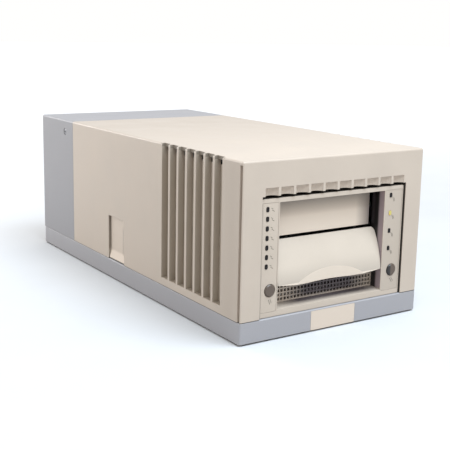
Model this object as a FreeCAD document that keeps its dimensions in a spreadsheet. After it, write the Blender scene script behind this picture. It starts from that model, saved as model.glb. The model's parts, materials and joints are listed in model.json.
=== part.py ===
import FreeCAD, Part
import math
import os
import re

import Sketcher
from FreeCAD import Placement, Rotation, Vector

# Tabletop tape drive in its own enclosure, in millimetres.
# The front faces -Y, +Z is up, and the origin is the middle of the footprint on the table.

# Driving dimensions of the spreadsheet, each with what it is
SIZES = (
    ("width", 188.0, "enclosure across"),
    ("depth", 396.0, "enclosure front to back"),
    ("height", 145.5, "table to the top of the covers"),
    ("foot_drop", 1.5, "feet below the base tray"),
    ("foot_wide", 16.0, "diameter of a foot"),
    ("foot_inset", 17.0, "foot centre from the outer walls"),
    ("foot_seat", 1.2, "depth of the seat for a foot"),
    ("base_tall", 17.5, "base tray height"),
    ("base_wall", 3.2, "base tray wall"),
    ("base_floor", 2.5, "base tray floor"),
    ("ledge", 0.8, "chamfer along the top of the base tray"),
    ("boss_rise", 2.5, "chassis bosses above the tray floor"),
    ("boss_wide", 14.0, "diameter of a chassis boss"),
    ("badge_wide", 47.0, "bare badge plate across"),
    ("badge_thick", 2.0, "badge plate thickness"),
    ("badge_drop", 1.0, "badge plate below the tray edge"),
    ("fit", 0.15, "clearance of fixed plates in their seats"),
    ("bite", 1.0, "how far joined features run into each other"),
    ("small_round", 2.0, "rounding of small moulded corners"),
    ("shell", 3.0, "wall of the plastic covers"),
    ("corner", 1.8, "rounding of the outer cover edges"),
    ("lip", 0.8, "front lip of the bezel before the reveal"),
    ("reveal_back", 3.6, "front face to the front edge of the cover"),
    ("reveal_deep", 2.5, "depth of the reveal groove"),
    ("hood_long", 82.0, "rear hood front to back"),
    ("seam", 0.3, "gap between cover and hood"),
    ("vent_count", 7, "ventilation slots on each side"),
    ("vent_pitch", 14.1, "spacing of the slots"),
    ("vent_wide", 11.3, "width of a slot"),
    ("vent_start", 28.3, "front face to the first slot"),
    ("vent_sill", 7.0, "slot bottom above the tray"),
    ("fin_deep", 6.0, "depth of the fins from the outer wall"),
    ("grip_start", 197.0, "front face to the finger recess"),
    ("grip_long", 33.0, "finger recess front to back"),
    ("grip_tall", 43.5, "finger recess top above the tray"),
    ("grip_deep", 2.0, "depth of the finger recess"),
    ("grip_ramp", 9.5, "height of the ramp under the recess"),
    ("grip_slit", 1.6, "width of the slit at the back of the recess"),
    ("grip_run", 6.0, "length of the slope at the front of the recess"),
    ("grip_gap", 1.0, "gap between the recess and the tray"),
    ("plate", 5.0, "front bezel thickness"),
    ("bay_wide", 150.2, "drive opening across"),
    ("bay_tall", 98.0, "drive opening above the tray"),
    ("bay_flange", 16.0, "front face to the end of the opening's flange"),
    ("flange", 2.0, "thickness of the opening's flange"),
    ("flute_count", 10, "flutes above the opening"),
    ("flute_pitch", 14.75, "spacing of the flutes"),
    ("flute_wide", 12.3, "width of a flute"),
    ("flute_deep", 4.2, "depth of a flute"),
    ("flute_tall", 6.7, "height of a flute"),
    ("sheet", 1.2, "chassis sheet metal"),
    ("screen", 0.6, "vent screen thickness"),
    ("chassis_start", 20.0, "front face to the chassis"),
    ("chassis_drop", 7.5, "chassis side walls below the cover top"),
    ("chassis_tab", 10.0, "rear tabs of the chassis"),
    ("slot_wide", 6.0, "air slots in the chassis wall"),
    ("panel_set", 4.0, "rear panel behind the hood's rear face"),
    ("panel_thick", 1.5, "rear panel sheet"),
    ("hood_border", 8.0, "rear border of the hood"),
    ("panel_screw_up", 8.0, "lower panel screws above the power supply"),
    ("panel_screw_drop", 6.0, "upper panel screws below the chassis top"),
    ("screw_head", 6.6, "diameter of a screw head"),
    ("screw_cap", 1.9, "height of a screw head"),
    ("screw_core", 3.0, "diameter of a screw"),
    ("screw_fit", 0.05, "radial clearance of screws and pins"),
    ("hood_screw_set", 20.5, "hood screw behind the cover seam"),
    ("hood_screw_drop", 12.4, "hood screw below the top"),
    ("face_set", 1.8, "drive bezel behind the enclosure face"),
    ("face_gap", 0.3, "drive bezel above the tray"),
    ("face_wide", 148.0, "drive bezel across"),
    ("face_tall", 95.5, "drive bezel height"),
    ("face_deep", 16.0, "drive bezel front to back"),
    ("face_skin", 3.0, "drive bezel front wall"),
    ("face_wall", 1.5, "drive bezel side walls"),
    ("left_column", 17.0, "left indicator column"),
    ("right_column", 20.8, "right indicator column"),
    ("top_bar", 3.5, "bar above the recess"),
    ("sill_tall", 5.0, "sill below the recess"),
    ("sill_rise", 1.2, "rise of the sill towards the back"),
    ("recess_deep", 12.0, "recess behind the drive face"),
    ("strip", 0.5, "indicator strip thickness"),
    ("strip_edge", 0.9, "strip to the column's outer edge"),
    ("strip_low", 4.0, "strip above the bezel's lower edge"),
    ("strip_high", 3.2, "strip below the bezel's top edge"),
    ("strip_round", 0.6, "rounding of the strips' corners"),
    ("lens_wide", 2.7, "lens across"),
    ("lens_tall", 3.9, "lens height"),
    ("lens_round", 1.1, "rounding of a lens"),
    ("left_lens_in", 5.4, "left lenses from the bezel edge"),
    ("left_lens_up", 87.2, "highest left lens above the lower edge"),
    ("left_lens_pitch", 7.62, "spacing of the left lenses"),
    ("left_lens_count", 7, "lenses of the left column"),
    ("right_lens_in", 13.9, "right lenses from the bezel edge"),
    ("right_lens_up", 87.6, "highest right lens above the lower edge"),
    ("right_lens_pitch", 15.4, "spacing of the right lenses"),
    ("right_lens_count", 4, "lenses of the right column"),
    ("button_wide", 10.2, "diameter of a button"),
    ("button_in", 9.4, "button centres from the bezel edge"),
    ("button_up", 21.7, "button centres above the lower edge"),
    ("button_proud", 0.8, "button in front of the drive face"),
    ("button_edge", 0.8, "chamfer of a button's edge"),
    ("button_stem", 2.0, "radius of a button's stem"),
    ("button_rim", 1.2, "thickness of the rim behind the front wall"),
    ("button_step", 0.6, "rim wider than the button all round"),
    ("button_gap", 0.3, "gap round a button"),
    ("button_travel", 1.6, "travel of a button"),
    ("board_set", 9.0, "indicator boards behind the drive face"),
    ("board", 1.6, "circuit board thickness"),
    ("switch_tall", 2.6, "push switch on the board"),
    ("switch_wide", 6.0, "push switch across"),
    ("visor_gap", 6.5, "gap at the right of the slot visor"),
    ("visor_up", 61.8, "visor bottom above the bezel's lower edge"),
    ("visor_thick", 2.0, "slot visor thickness"),
    ("grille_thick", 1.5, "vent grille thickness"),
    ("grille_up", 25.2, "grille top above the bezel's lower edge"),
    ("mesh", 2.3, "side of a grille hole"),
    ("mesh_pitch", 3.5, "spacing of the grille holes"),
    ("mesh_up", 2.6, "first row of grille holes above the sill"),
    ("mesh_rows", 5, "rows of grille holes"),
    ("mesh_columns", 31, "columns of grille holes"),
    ("handle_gap", 0.6, "handle to the sides of the recess"),
    ("handle_top_in", 12.0, "handle top behind the drive face"),
    ("handle_top_up", 59.2, "handle top above the bezel's lower edge"),
    ("handle_low_in", 0.2, "handle front at the bottom, behind the face"),
    ("handle_low_up", 24.2, "handle bottom corners above the lower edge"),
    ("handle_dip", 3.2, "handle bottom lower in the middle"),
    ("handle_bow", 79.0, "radius of the handle's front"),
    ("handle_back", 90.0, "radius of the handle's back"),
    ("handle_lip", 8.0, "handle thickness at the bottom"),
    ("handle_web", 3.0, "handle thickness at the top"),
    ("handle_round", 4.0, "rounding of the handle's top corners"),
    ("handle_lean", 0.4, "handle's lowest point behind its bottom corners"),
    ("handle_heel", 1.5, "rise of the handle's underside towards the back"),
    ("handle_fall", 1.4, "fall of the handle's top towards the back"),
    ("arm_in", 6.5, "foot of a handle arm behind the drive face"),
    ("arm_up", 6.5, "foot of a handle arm above the bottom corners"),
    ("arm_deep", 5.0, "handle arm front to back at its foot"),
    ("arm_rise", 2.0, "rise of a handle arm's foot towards the back"),
    ("cheek", 1.3, "thickness of the handle's side arms"),
    ("pivot_in", 15.0, "handle pivot behind the drive face"),
    ("pivot_up", 52.7, "handle pivot above the bezel's lower edge"),
    ("pivot_boss", 3.0, "radius of the arm round the pivot"),
    ("pin_wide", 3.0, "diameter of a handle pin"),
    ("scoop_round", 160.0, "radius of the finger scoop"),
    ("scoop_tilt", 14.9, "lean of the finger scoop in degrees"),
    ("scoop_up", 33.2, "peak of the scoop above the lower edge"),
    ("scoop_in", 1.55, "peak of the scoop behind the drive face"),
    ("drive_wide", 146.0, "drive body across"),
    ("drive_deep", 226.0, "drive body front to back"),
    ("drive_tall", 82.0, "drive body height"),
    ("drive_lift", 8.0, "drive body above the tray"),
    ("cast_floor", 4.0, "floor of the drive casting"),
    ("cast_wall", 3.0, "walls of the drive casting"),
    ("cast_tall", 33.0, "height of the drive casting"),
    ("lid", 1.0, "drive lid sheet"),
    ("rail", 1.5, "mounting bracket sheet"),
    ("rail_tall", 20.0, "mounting bracket height"),
    ("rail_start", 28.0, "drive front to the mounting brackets"),
    ("rail_long", 170.0, "mounting bracket front to back"),
    ("rail_screw_up", 10.0, "drive screws above the drive's underside"),
    ("rail_screw_in", 26.0, "drive screws from the bracket ends"),
    ("cartridge_wide", 105.4, "cartridge across"),
    ("cartridge_deep", 105.8, "cartridge front to back"),
    ("cartridge_tall", 25.4, "cartridge height"),
    ("cartridge_play", 0.5, "play round the cartridge"),
    ("receiver_wall", 1.2, "cartridge receiver sheet"),
    ("receiver_in", 22.0, "receiver mouth behind the drive face"),
    ("receiver_up", 12.5, "cartridge space above the drive's underside"),
    ("receiver_lip", 14.0, "inward lips over the cartridge"),
    ("guide_gap", 0.3, "receiver to its guides"),
    ("guide_wide", 6.0, "guide rib front to back"),
    ("motor_wide", 58.0, "reel motor diameter"),
    ("motor_tall", 4.5, "reel motor height"),
    ("shaft_wide", 6.0, "reel motor shaft"),
    ("shaft_tall", 6.0, "reel motor shaft above the motor"),
    ("shaft_fit", 0.08, "radial clearance on the shafts"),
    ("hub_wide", 36.0, "supply hub flange"),
    ("hub_core", 25.0, "supply hub boss"),
    ("hub_tall", 5.4, "supply hub height"),
    ("hub_hole", 46.0, "hole in the receiver for the hub"),
    ("hub_rim", 1.4, "supply hub flange thickness"),
    ("hub_teeth", 18, "teeth on the supply hub"),
    ("tooth_tall", 1.0, "height of a hub tooth"),
    ("tooth_wide", 1.6, "width of a hub tooth"),
    ("tooth_long", 3.5, "length of a hub tooth"),
    ("tooth_in", 0.5, "hub teeth from the boss's edge"),
    ("reel_wide", 94.0, "take-up reel flange"),
    ("reel_core", 52.0, "take-up reel core"),
    ("reel_flange", 1.6, "take-up reel flange thickness"),
    ("reel_tall", 26.0, "take-up reel height"),
    ("reel_gap", 5.0, "take-up reel to the drive's right wall"),
    ("path_gap", 6.0, "guide rollers to the drive's left wall"),
    ("path_start", -38.0, "first roller on the tape path, degrees"),
    ("path_step", 24.0, "next roller on the tape path, degrees"),
    ("roller_wide", 12.0, "guide roller diameter"),
    ("roller_tall", 24.0, "guide roller height"),
    ("roller_rim", 1.2, "flanges of a guide roller"),
    ("roller_waist", 0.8, "depth of the tape track on a roller"),
    ("roller_axle", 4.0, "axle of a guide roller"),
    ("roller_up", 9.0, "rollers above the drive's underside"),
    ("head_wide", 11.0, "head block across"),
    ("head_long", 15.0, "head block front to back"),
    ("head_tall", 22.0, "head block height"),
    ("head_up", 13.0, "head block above the drive's underside"),
    ("head_travel", 3.0, "travel of the head each way"),
    ("rod_wide", 3.0, "head guide rods"),
    ("rod_pitch", 8.0, "spacing of the head guide rods"),
    ("head_foot", 2.0, "foot and bridge of the head mount"),
    ("post_wide", 6.0, "posts under the main board"),
    ("post_set", 7.0, "posts from the drive's sides"),
    ("mainboard_up", 64.0, "main board above the drive's underside"),
    ("chip_tall", 2.5, "height of a chip"),
    ("plug_long", 14.0, "rear connectors of the drive"),
    ("plug_tall", 9.0, "height of the rear connectors"),
    ("psu_right", 69.0, "power supply across"),
    ("psu_deep", 112.0, "power supply front to back"),
    ("psu_tall", 84.0, "power supply height"),
    ("psu_skin", 1.0, "power supply sheet"),
    ("psu_gap", 1.0, "power supply to the chassis wall"),
    ("psu_slots", 4, "air slots of the power supply"),
    ("psu_board_gap", 3.0, "board to the power supply's sides"),
    ("psu_set", 10.0, "transformer and heat sink from the housing's sides"),
    ("core_wide", 30.0, "transformer across"),
    ("core_long", 28.0, "transformer front to back"),
    ("core_tall", 25.4, "transformer height"),
    ("can_wide", 15.0, "capacitor diameter"),
    ("can_tall", 30.4, "capacitor height"),
    ("can_pitch", 20.0, "capacitors apart"),
    ("sink_thick", 3.0, "heat sink thickness"),
    ("sink_long", 62.0, "heat sink front to back"),
    ("sink_tall", 36.4, "heat sink height"),
    ("inlet_in", 29.25, "inlet and switch from the chassis side"),
    ("inlet_z", 47.0, "inlet centre above the table"),
    ("inlet_wide", 27.0, "inlet body across"),
    ("inlet_tall", 19.8, "inlet body height"),
    ("inlet_flange_wide", 48.0, "inlet flange across"),
    ("inlet_flange_tall", 22.4, "inlet flange height"),
    ("inlet_flange", 2.4, "inlet flange thickness"),
    ("inlet_deep", 22.0, "inlet body behind the panel"),
    ("mouth_wide", 24.0, "inlet mouth across"),
    ("mouth_tall", 16.4, "inlet mouth height"),
    ("mouth_deep", 16.0, "inlet mouth depth"),
    ("prong_wide", 2.0, "inlet pin thickness"),
    ("prong_tall", 4.0, "inlet pin height"),
    ("prong_pitch", 14.0, "outer inlet pins apart"),
    ("prong_set", 5.5, "inlet pins behind the mouth"),
    ("ear_pitch", 40.0, "inlet screws apart"),
    ("rocker_z", 77.0, "power switch centre above the table"),
    ("rocker_wide", 10.0, "rocker across"),
    ("rocker_reach", 8.0, "rocker axis to its ends"),
    ("rocker_tilt", 8.0, "rocker lean each way"),
    ("rocker_tip", 5.9, "rocker's tips in front of its axis"),
    ("rocker_dish", 3.5, "rocker's middle in front of its axis"),
    ("rocker_taper", 0.6, "rocker's tips in from its ends"),
    ("rocker_edge", 1.0, "rocker's widest place in front of its axis"),
    ("rocker_root", 2.4, "rocker behind its axis"),
    ("rocker_rim", 2.4, "frame round the rocker"),
    ("rim_flange", 1.2, "rims beyond the switch cases"),
    ("rim_proud", 1.6, "switch rim behind the panel"),
    ("rocker_deep", 16.0, "switch body behind the panel"),
    ("rocker_in", 3.0, "rocker axis behind the panel's rear face"),
    ("fan_above", 10.2, "fan frame above the upper data port"),
    ("fan_below", 7.0, "fan frame below the chassis top"),
    ("fan_wall", 2.0, "thinnest wall of the fan frame"),
    ("fan_deep", 15.0, "fan frame depth"),
    ("fan_hub", 26.0, "fan hub"),
    ("fan_gap", 0.7, "fan blades to the bore"),
    ("fan_blades", 7, "fan blades"),
    ("blade_thick", 1.2, "fan blade thickness"),
    ("root_sweep", 3.2, "sweep of a blade at the hub"),
    ("tip_sweep", 6.2, "sweep of a blade at the tip"),
    ("fan_screw_in", 5.0, "fan screws from the frame's edges"),
    ("fan_strut", 3.0, "fan struts and motor plate"),
    ("fan_play", 0.6, "fan rotor to the struts and the panel"),
    ("spindle_wide", 3.0, "fan spindle diameter"),
    ("ring_wide", 4.2, "width of an air slot"),
    ("ring_pitch", 8.2, "spacing of the rings of slots"),
    ("spoke", 4.2, "spokes between the air slots"),
    ("port_x", 42.0, "data ports right of the middle"),
    ("port_z", 38.0, "lower data port above the table"),
    ("port_pitch", 18.0, "data ports apart"),
    ("port_wide", 46.0, "data port shell across"),
    ("port_tall", 9.6, "data port shell height"),
    ("port_skin", 0.8, "data port shell sheet"),
    ("port_lean", 1.6, "slope of the port shell's ends"),
    ("tongue", 2.8, "thickness of the contact tongue"),
    ("port_proud", 2.4, "data port shell behind the panel face"),
    ("port_deep", 10.0, "data port body inside the panel"),
    ("port_screw", 56.6, "jack screws apart"),
    ("jack_wide", 5.0, "jack screw across its flats"),
    ("dial_x", -3.0, "address switch left of the middle"),
    ("dial_drop", 3.0, "address switch below the fan frame"),
    ("dial_wide", 11.0, "address switch across"),
    ("dial_tall", 32.0, "address switch height"),
    ("dial_deep", 13.0, "address switch body inside the panel"),
    ("dial_proud", 1.0, "address switch rim"),
    ("wheel_wide", 12.0, "address wheel diameter"),
    ("wheel_thick", 5.0, "address wheel thickness"),
    ("key_wide", 4.6, "address keys"),
    ("key_pitch", 21.0, "address keys apart"),
    ("key_deep", 8.0, "depth of the key wells"),
    ("key_ease", 0.3, "chamfer of an address key"),
    ("key_travel", 1.2, "travel of an address key"),
    ("axle_wide", 1.5, "address wheel axle diameter"),
    ("cable_thick", 1.3, "flat signal cable thickness"),
    ("cable_wide", 44.0, "flat signal cable width"),
    ("lead_thick", 3.0, "power lead thickness"),
    ("lead_wide", 12.0, "power lead width"),
    ("cable_bend", 8.0, "bends of both cables"),
)

# Places worked out from the driving dimensions
PLACES = {
    "side": "width/2",
    "front": "-depth/2",
    "back": "depth/2",
    "base_top": "foot_drop + base_tall",
    "tray_floor": "foot_drop + base_floor",
    "inner_side": "side - shell",
    "inner_top": "height - shell",
    "cover_front": "front + reveal_back",
    "split": "back - hood_long",
    "bay_side": "bay_wide/2",
    "bay_top": "base_top + bay_tall",
    "vent_low": "base_top + vent_sill",
    "vent_front": "front + vent_start",
    "vent_rib": "vent_pitch - vent_wide",
    "vent_long": "vent_count*vent_pitch - vent_rib",
    "fin_side": "side - fin_deep",
    "chassis_side": "fin_side - fit - screen",
    "chassis_low": "tray_floor + boss_rise",
    "chassis_top": "height - chassis_drop",
    "chassis_front": "front + chassis_start",
    "panel_back": "back - panel_set",
    "panel_front": "panel_back - panel_thick",
    "panel_low": "base_top + shell",
    "hood_open_low": "base_top + hood_border",
    "hood_screw_y": "split + hood_screw_set",
    "hood_screw_z": "height - hood_screw_drop",
    "face": "front + face_set",
    "face_back": "face + face_deep",
    "face_side": "face_wide/2",
    "face_low": "base_top + face_gap",
    "face_high": "face_low + face_tall",
    "skin_back": "face + face_skin",
    "recess_left": "left_column - face_side",
    "recess_right": "face_side - right_column",
    "recess_middle": "(recess_left + recess_right)/2",
    "recess_low": "face_low + sill_tall",
    "recess_step": "recess_low + sill_rise",
    "recess_high": "face_high - top_bar",
    "recess_back": "face + recess_deep",
    "left_lens_x": "left_lens_in - face_side",
    "right_lens_x": "face_side - right_lens_in",
    "button_x": "face_side - button_in",
    "button_z": "face_low + button_up",
    "board_front": "face + board_set",
    "visor_low": "face_low + visor_up",
    "grille_high": "face_low + grille_up",
    "handle_left": "recess_left + handle_gap",
    "handle_right": "recess_right - handle_gap",
    "handle_top": "face_low + handle_top_up",
    "handle_low": "face_low + handle_low_up",
    "handle_front": "face + handle_low_in",
    "pivot_y": "face + pivot_in",
    "pivot_z": "face_low + pivot_up",
    "drive_side": "drive_wide/2",
    "drive_front": "face_back + fit",
    "drive_back": "drive_front + drive_deep",
    "drive_low": "base_top + drive_lift",
    "drive_high": "drive_low + drive_tall",
    "cast_top": "drive_low + cast_floor",
    "cast_high": "drive_low + cast_tall",
    "rail_front": "drive_front + rail_start",
    "rail_back": "rail_front + rail_long",
    "rail_side": "chassis_side - sheet",
    "rail_screw_z": "drive_low + rail_screw_up",
    "receiver_front": "face + receiver_in",
    "receiver_back": "receiver_front + cartridge_deep + 2*cartridge_play",
    "receiver_half": "cartridge_wide/2 + cartridge_play",
    "receiver_low": "drive_low + receiver_up",
    "receiver_high": "receiver_low + cartridge_tall + 2*cartridge_play",
    "hub_y": "(receiver_front + receiver_back)/2",
    "motor_top": "cast_top + motor_tall",
    "drive_inside": "drive_side - cast_wall",
    "reel_x": "drive_inside - reel_gap - reel_wide/2",
    "reel_y": "(receiver_back + drive_back - cast_wall)/2",
    "path_round": "reel_x + drive_inside - path_gap - roller_wide/2",
    "roller_low": "drive_low + roller_up",
    "head_x": "reel_x - path_round + roller_wide/2 + guide_gap + head_wide/2",
    "head_low": "drive_low + head_up",
    "board_low": "drive_low + mainboard_up",
    "board_high": "board_low + board",
    "post_x": "drive_side - post_set",
    "psu_left": "psu_gap - rail_side",
    "psu_end": "psu_left + psu_right",
    "psu_front": "panel_front - psu_deep",
    "psu_low": "chassis_low + sheet",
    "psu_high": "psu_low + psu_tall",
    "lead_left": "psu_left + 2*lead_wide",
    "inlet_x": "inlet_in - chassis_side",
    "rocker_y": "panel_back - rocker_in",
    "rocker_half": "rocker_reach + button_gap",
    "port_top": "port_z + port_pitch",
    "fan_bottom": "port_top + port_tall/2 + fan_above",
    "fan_top": "chassis_top - fan_below",
    "fan_side": "fan_top - fan_bottom",
    "fan_x": "(psu_end + rail_side - chassis_tab)/2",
    "fan_z": "(fan_bottom + fan_top)/2",
    "fan_bore": "fan_side - 2*fan_wall",
    "fan_pitch": "fan_side - 2*fan_screw_in",
    "ring_count": "floor(fan_bore/2/ring_pitch)",
    "dial_z": "fan_bottom - dial_drop - dial_tall/2",
    "wheel_y": "panel_back + dial_proud - fit - wheel_wide/2",
    "dial_side": "dial_wide/2",
    "dial_half": "dial_tall/2",
    "plug_y": "drive_back + plug_long/2",
    "plug_z": "board_high + plug_tall/2",
}

PLANES = {"XY": ("XY_Plane", 1), "XZ": ("XZ_Plane", -1), "YZ": ("YZ_Plane", 1)}
WORD = re.compile(r"[A-Za-z_]\w*")
SIDES = (("left", -1), ("right", 1))
CUTS = ("PartDesign::Pocket", "PartDesign::Groove", "PartDesign::SubtractiveCylinder")

# Chips on the main board: right of the middle, behind the hub, half width
CHIPS = ((-30, 10, 14), (15, 0, 11), (42, 40, 11), (-10, 60, 9))

doc = FreeCAD.newDocument("TapeDrive")
sizes = doc.addObject("Spreadsheet::Sheet", "Sizes")
for row, (alias, value, note) in enumerate(SIZES, start=1):
    sizes.set(f"A{row}", alias)
    sizes.set(f"B{row}", str(value))
    sizes.set(f"C{row}", note)
    sizes.setAlias(f"B{row}", alias)
doc.recompute()
ALIASES = {alias for alias, value, note in SIZES}


def bound(text):
    """Writes a formula of sizes and places as an expression on the spreadsheet's cells."""

    def swap(match):
        word = match.group(0)
        if word in PLACES:
            return "(" + bound(PLACES[word]) + ")"
        if word in ALIASES:
            return "Sizes." + word
        return word

    return WORD.sub(swap, str(text))


def value_of(text):
    return float(sizes.evalExpression(bound(text)))


def mirrored_span(sign, inner, outer):
    """A stretch of X from inner to outer on the right, or the same stretch on the left."""
    if sign > 0:
        return inner, outer
    return f"-({outer})", f"-({inner})"


def new_body(name, x=None, y=None, z=None):
    body = doc.addObject("PartDesign::Body", name)
    body.Label = name
    body.AllowCompound = True
    for axis, place in (("x", x), ("y", y), ("z", z)):
        if place is not None:
            body.setExpression(f".Placement.Base.{axis}", bound(place))
    return body


def origin_part(body, role):
    return next(part for part in body.Origin.OriginFeatures if part.Role == role)


def new_sketch(body, name, plane, level="0", shift=("0", "0")):
    """A sketch parallel to one of the body's origin planes, at a level along its axis."""
    role, sense = PLANES[plane]
    sketch = body.newObject("Sketcher::SketchObject", name)
    sketch.AttachmentSupport = [(origin_part(body, role), "")]
    sketch.MapMode = "FlatFace"
    lift = level if sense > 0 else f"-({level})"
    for axis, place in (("x", shift[0]), ("y", shift[1]), ("z", lift)):
        if place != "0":
            sketch.setExpression(f".AttachmentOffset.Base.{axis}", bound(place))
    return sketch


def hold(sketch, kind, places, text, value):
    """Adds a constraint whose value follows the spreadsheet."""
    index = sketch.addConstraint(Sketcher.Constraint(kind, *places, value))
    sketch.setExpression(f"Constraints[{index}]", bound(text))


def arc_between(begin, end, radius, turn):
    """The short arc from begin to end, turning left (1) or right (-1)."""
    chord = end - begin
    half = chord.Length / 2
    rise = math.sqrt(max(radius**2 - half**2, 0.0))
    normal = Vector(-chord.y, chord.x, 0).normalize() * turn
    centre = begin + chord / 2 + normal * rise
    first, last = (begin, end) if turn > 0 else (end, begin)
    angles = [math.atan2(spot.y - centre.y, spot.x - centre.x) for spot in (first, last)]
    circle = Part.Circle(centre, Vector(0, 0, 1), radius)
    return Part.ArcOfCircle(circle, angles[0], angles[1])


def draw_outline(sketch, points):
    """Closes a chain of points; a point with a radius and a turn ends an arc."""
    spots = [Vector(value_of(point[0]), value_of(point[1]), 0) for point in points]
    edges = []
    for index, point in enumerate(points):
        begin = spots[index - 1]
        if len(point) == 2:
            edge = sketch.addGeometry(Part.LineSegment(begin, spots[index]), False)
            edges.append((edge, 1, 2))
        else:
            radius = value_of(point[2])
            arc = arc_between(begin, spots[index], radius, point[3])
            edge = sketch.addGeometry(arc, False)
            edges.append((edge, 1, 2) if point[3] > 0 else (edge, 2, 1))
    for index, point in enumerate(points):
        edge, first, last = edges[index]
        following = edges[(index + 1) % len(edges)]
        sketch.addConstraint(Sketcher.Constraint("Coincident", edge, last, following[0], following[1]))
        hold(sketch, "DistanceX", (-1, 1, edge, last), point[0], spots[index].x)
        hold(sketch, "DistanceY", (-1, 1, edge, last), point[1], spots[index].y)
        if len(point) > 2:
            hold(sketch, "Radius", (edge,), point[2], value_of(point[2]))


def draw_circle(sketch, x, y, radius):
    centre = Vector(value_of(x), value_of(y), 0)
    circle = Part.Circle(centre, Vector(0, 0, 1), value_of(radius))
    edge = sketch.addGeometry(circle, False)
    hold(sketch, "DistanceX", (-1, 1, edge, 3), x, centre.x)
    hold(sketch, "DistanceY", (-1, 1, edge, 3), y, centre.y)
    hold(sketch, "Radius", (edge,), radius, value_of(radius))


def rectangle(left, right, low, high):
    return [(left, low), (right, low), (right, high), (left, high)]


def rounded(left, right, low, high, radius):
    """A rectangle with round corners, counter-clockwise."""
    return [
        (f"{right} - {radius}", low),
        (right, f"{low} + {radius}", radius, 1),
        (right, f"{high} - {radius}"),
        (f"{right} - {radius}", high, radius, 1),
        (f"{left} + {radius}", high),
        (left, f"{high} - {radius}", radius, 1),
        (left, f"{low} + {radius}"),
        (f"{left} + {radius}", low, radius, 1),
    ]


def extrude(body, name, plane, start, end, outlines=(), circles=(), cut=False, shift=("0", "0")):
    """Pads or pockets outlines from start to end along the plane's axis."""
    sketch = new_sketch(body, f"{name}_sketch", plane, start, shift)
    for points in outlines:
        draw_outline(sketch, points)
    for x, y, radius in circles:
        draw_circle(sketch, x, y, radius)
    kind = "PartDesign::Pocket" if cut else "PartDesign::Pad"
    feature = body.newObject(kind, name)
    feature.Profile = sketch
    feature.Reversed = cut == (PLANES[plane][1] > 0)
    feature.setExpression("Length", bound(f"({end}) - ({start})"))
    return feature


def turn_profile(body, name, points, plane="XZ", axis="V_Axis", cut=False):
    """Revolves an outline about an axis of its own sketch."""
    sketch = new_sketch(body, f"{name}_sketch", plane)
    draw_outline(sketch, points)
    feature = body.newObject("PartDesign::Groove" if cut else "PartDesign::Revolution", name)
    feature.Profile = sketch
    feature.ReferenceAxis = (sketch, [axis])
    feature.Angle = 360
    return feature


def repeat(body, name, feature, axis, pitch, count):
    """Copies a feature along an origin axis; the pitch's sign gives the direction."""
    pattern = body.newObject("PartDesign::LinearPattern", name)
    pattern.Originals = [feature]
    pattern.Direction = (origin_part(body, axis), [""])
    pattern.Reversed = value_of(pitch) < 0
    pattern.setExpression("Length", bound(f"abs({pitch})*({count} - 1)"))
    pattern.setExpression("Occurrences", bound(count))
    body.Tip = pattern
    return pattern


def repeat_grid(body, name, feature, first, second):
    """Copies a feature along two origin axes; each of the two is (axis, pitch, count)."""
    pattern = repeat(body, name, feature, *first)
    axis, pitch, count = second
    pattern.Direction2 = (origin_part(body, axis), [""])
    pattern.setExpression("Length2", bound(f"{pitch}*({count} - 1)"))
    pattern.setExpression("Occurrences2", bound(count))
    return pattern


def repeat_round(body, name, feature, axis, count):
    pattern = body.newObject("PartDesign::PolarPattern", name)
    pattern.Originals = [feature]
    pattern.Axis = axis
    pattern.Angle = 360
    pattern.setExpression("Occurrences", bound(count))
    body.Tip = pattern
    return pattern


def mirror_body(body, name, role="YZ_Plane"):
    """Mirrors all that the body holds so far."""
    mirror = body.newObject("PartDesign::Mirrored", name)
    mirror.TransformMode = "Whole shape"
    mirror.MirrorPlane = (origin_part(body, role), [""])
    body.Tip = mirror
    return mirror


def ease_edges(body, name, kind, size, wanted):
    """Fillets or chamfers the edges that wanted() picks by their ends."""
    doc.recompute()
    base = body.Tip
    names = []
    for index, edge in enumerate(base.Shape.Edges, start=1):
        ends = [vertex.Point for vertex in edge.Vertexes]
        if len(ends) == 2 and wanted(ends[0], ends[1]):
            names.append(f"Edge{index}")
    feature = body.newObject(f"PartDesign::{kind}", name)
    feature.Base = (base, names)
    feature.setExpression("Radius" if kind == "Fillet" else "Size", bound(size))
    return feature


def near(first, second):
    return abs(first - second) < 1e-4


def upright(first, second):
    """True for an edge that runs along Z."""
    return near(first.x, second.x) and near(first.y, second.y)


def along_y(first, second):
    return near(first.x, second.x) and near(first.z, second.z)


def both(first, second, axis, place):
    """True where both ends of an edge lie at one place along an axis."""
    return near(getattr(first, axis), place) and near(getattr(second, axis), place)


def screw_profile(length):
    """Half outline of a pan head screw whose head starts at zero and points to +V."""
    return [
        ("0", "screw_cap"),
        ("0", f"-({length})"),
        ("screw_core/2", f"-({length})"),
        ("screw_core/2", "0"),
        ("screw_head/2", "0"),
        ("screw_head/2", "screw_cap*0.5"),
        ("screw_head*0.3", "screw_cap"),
    ]


# Enclosure


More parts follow.
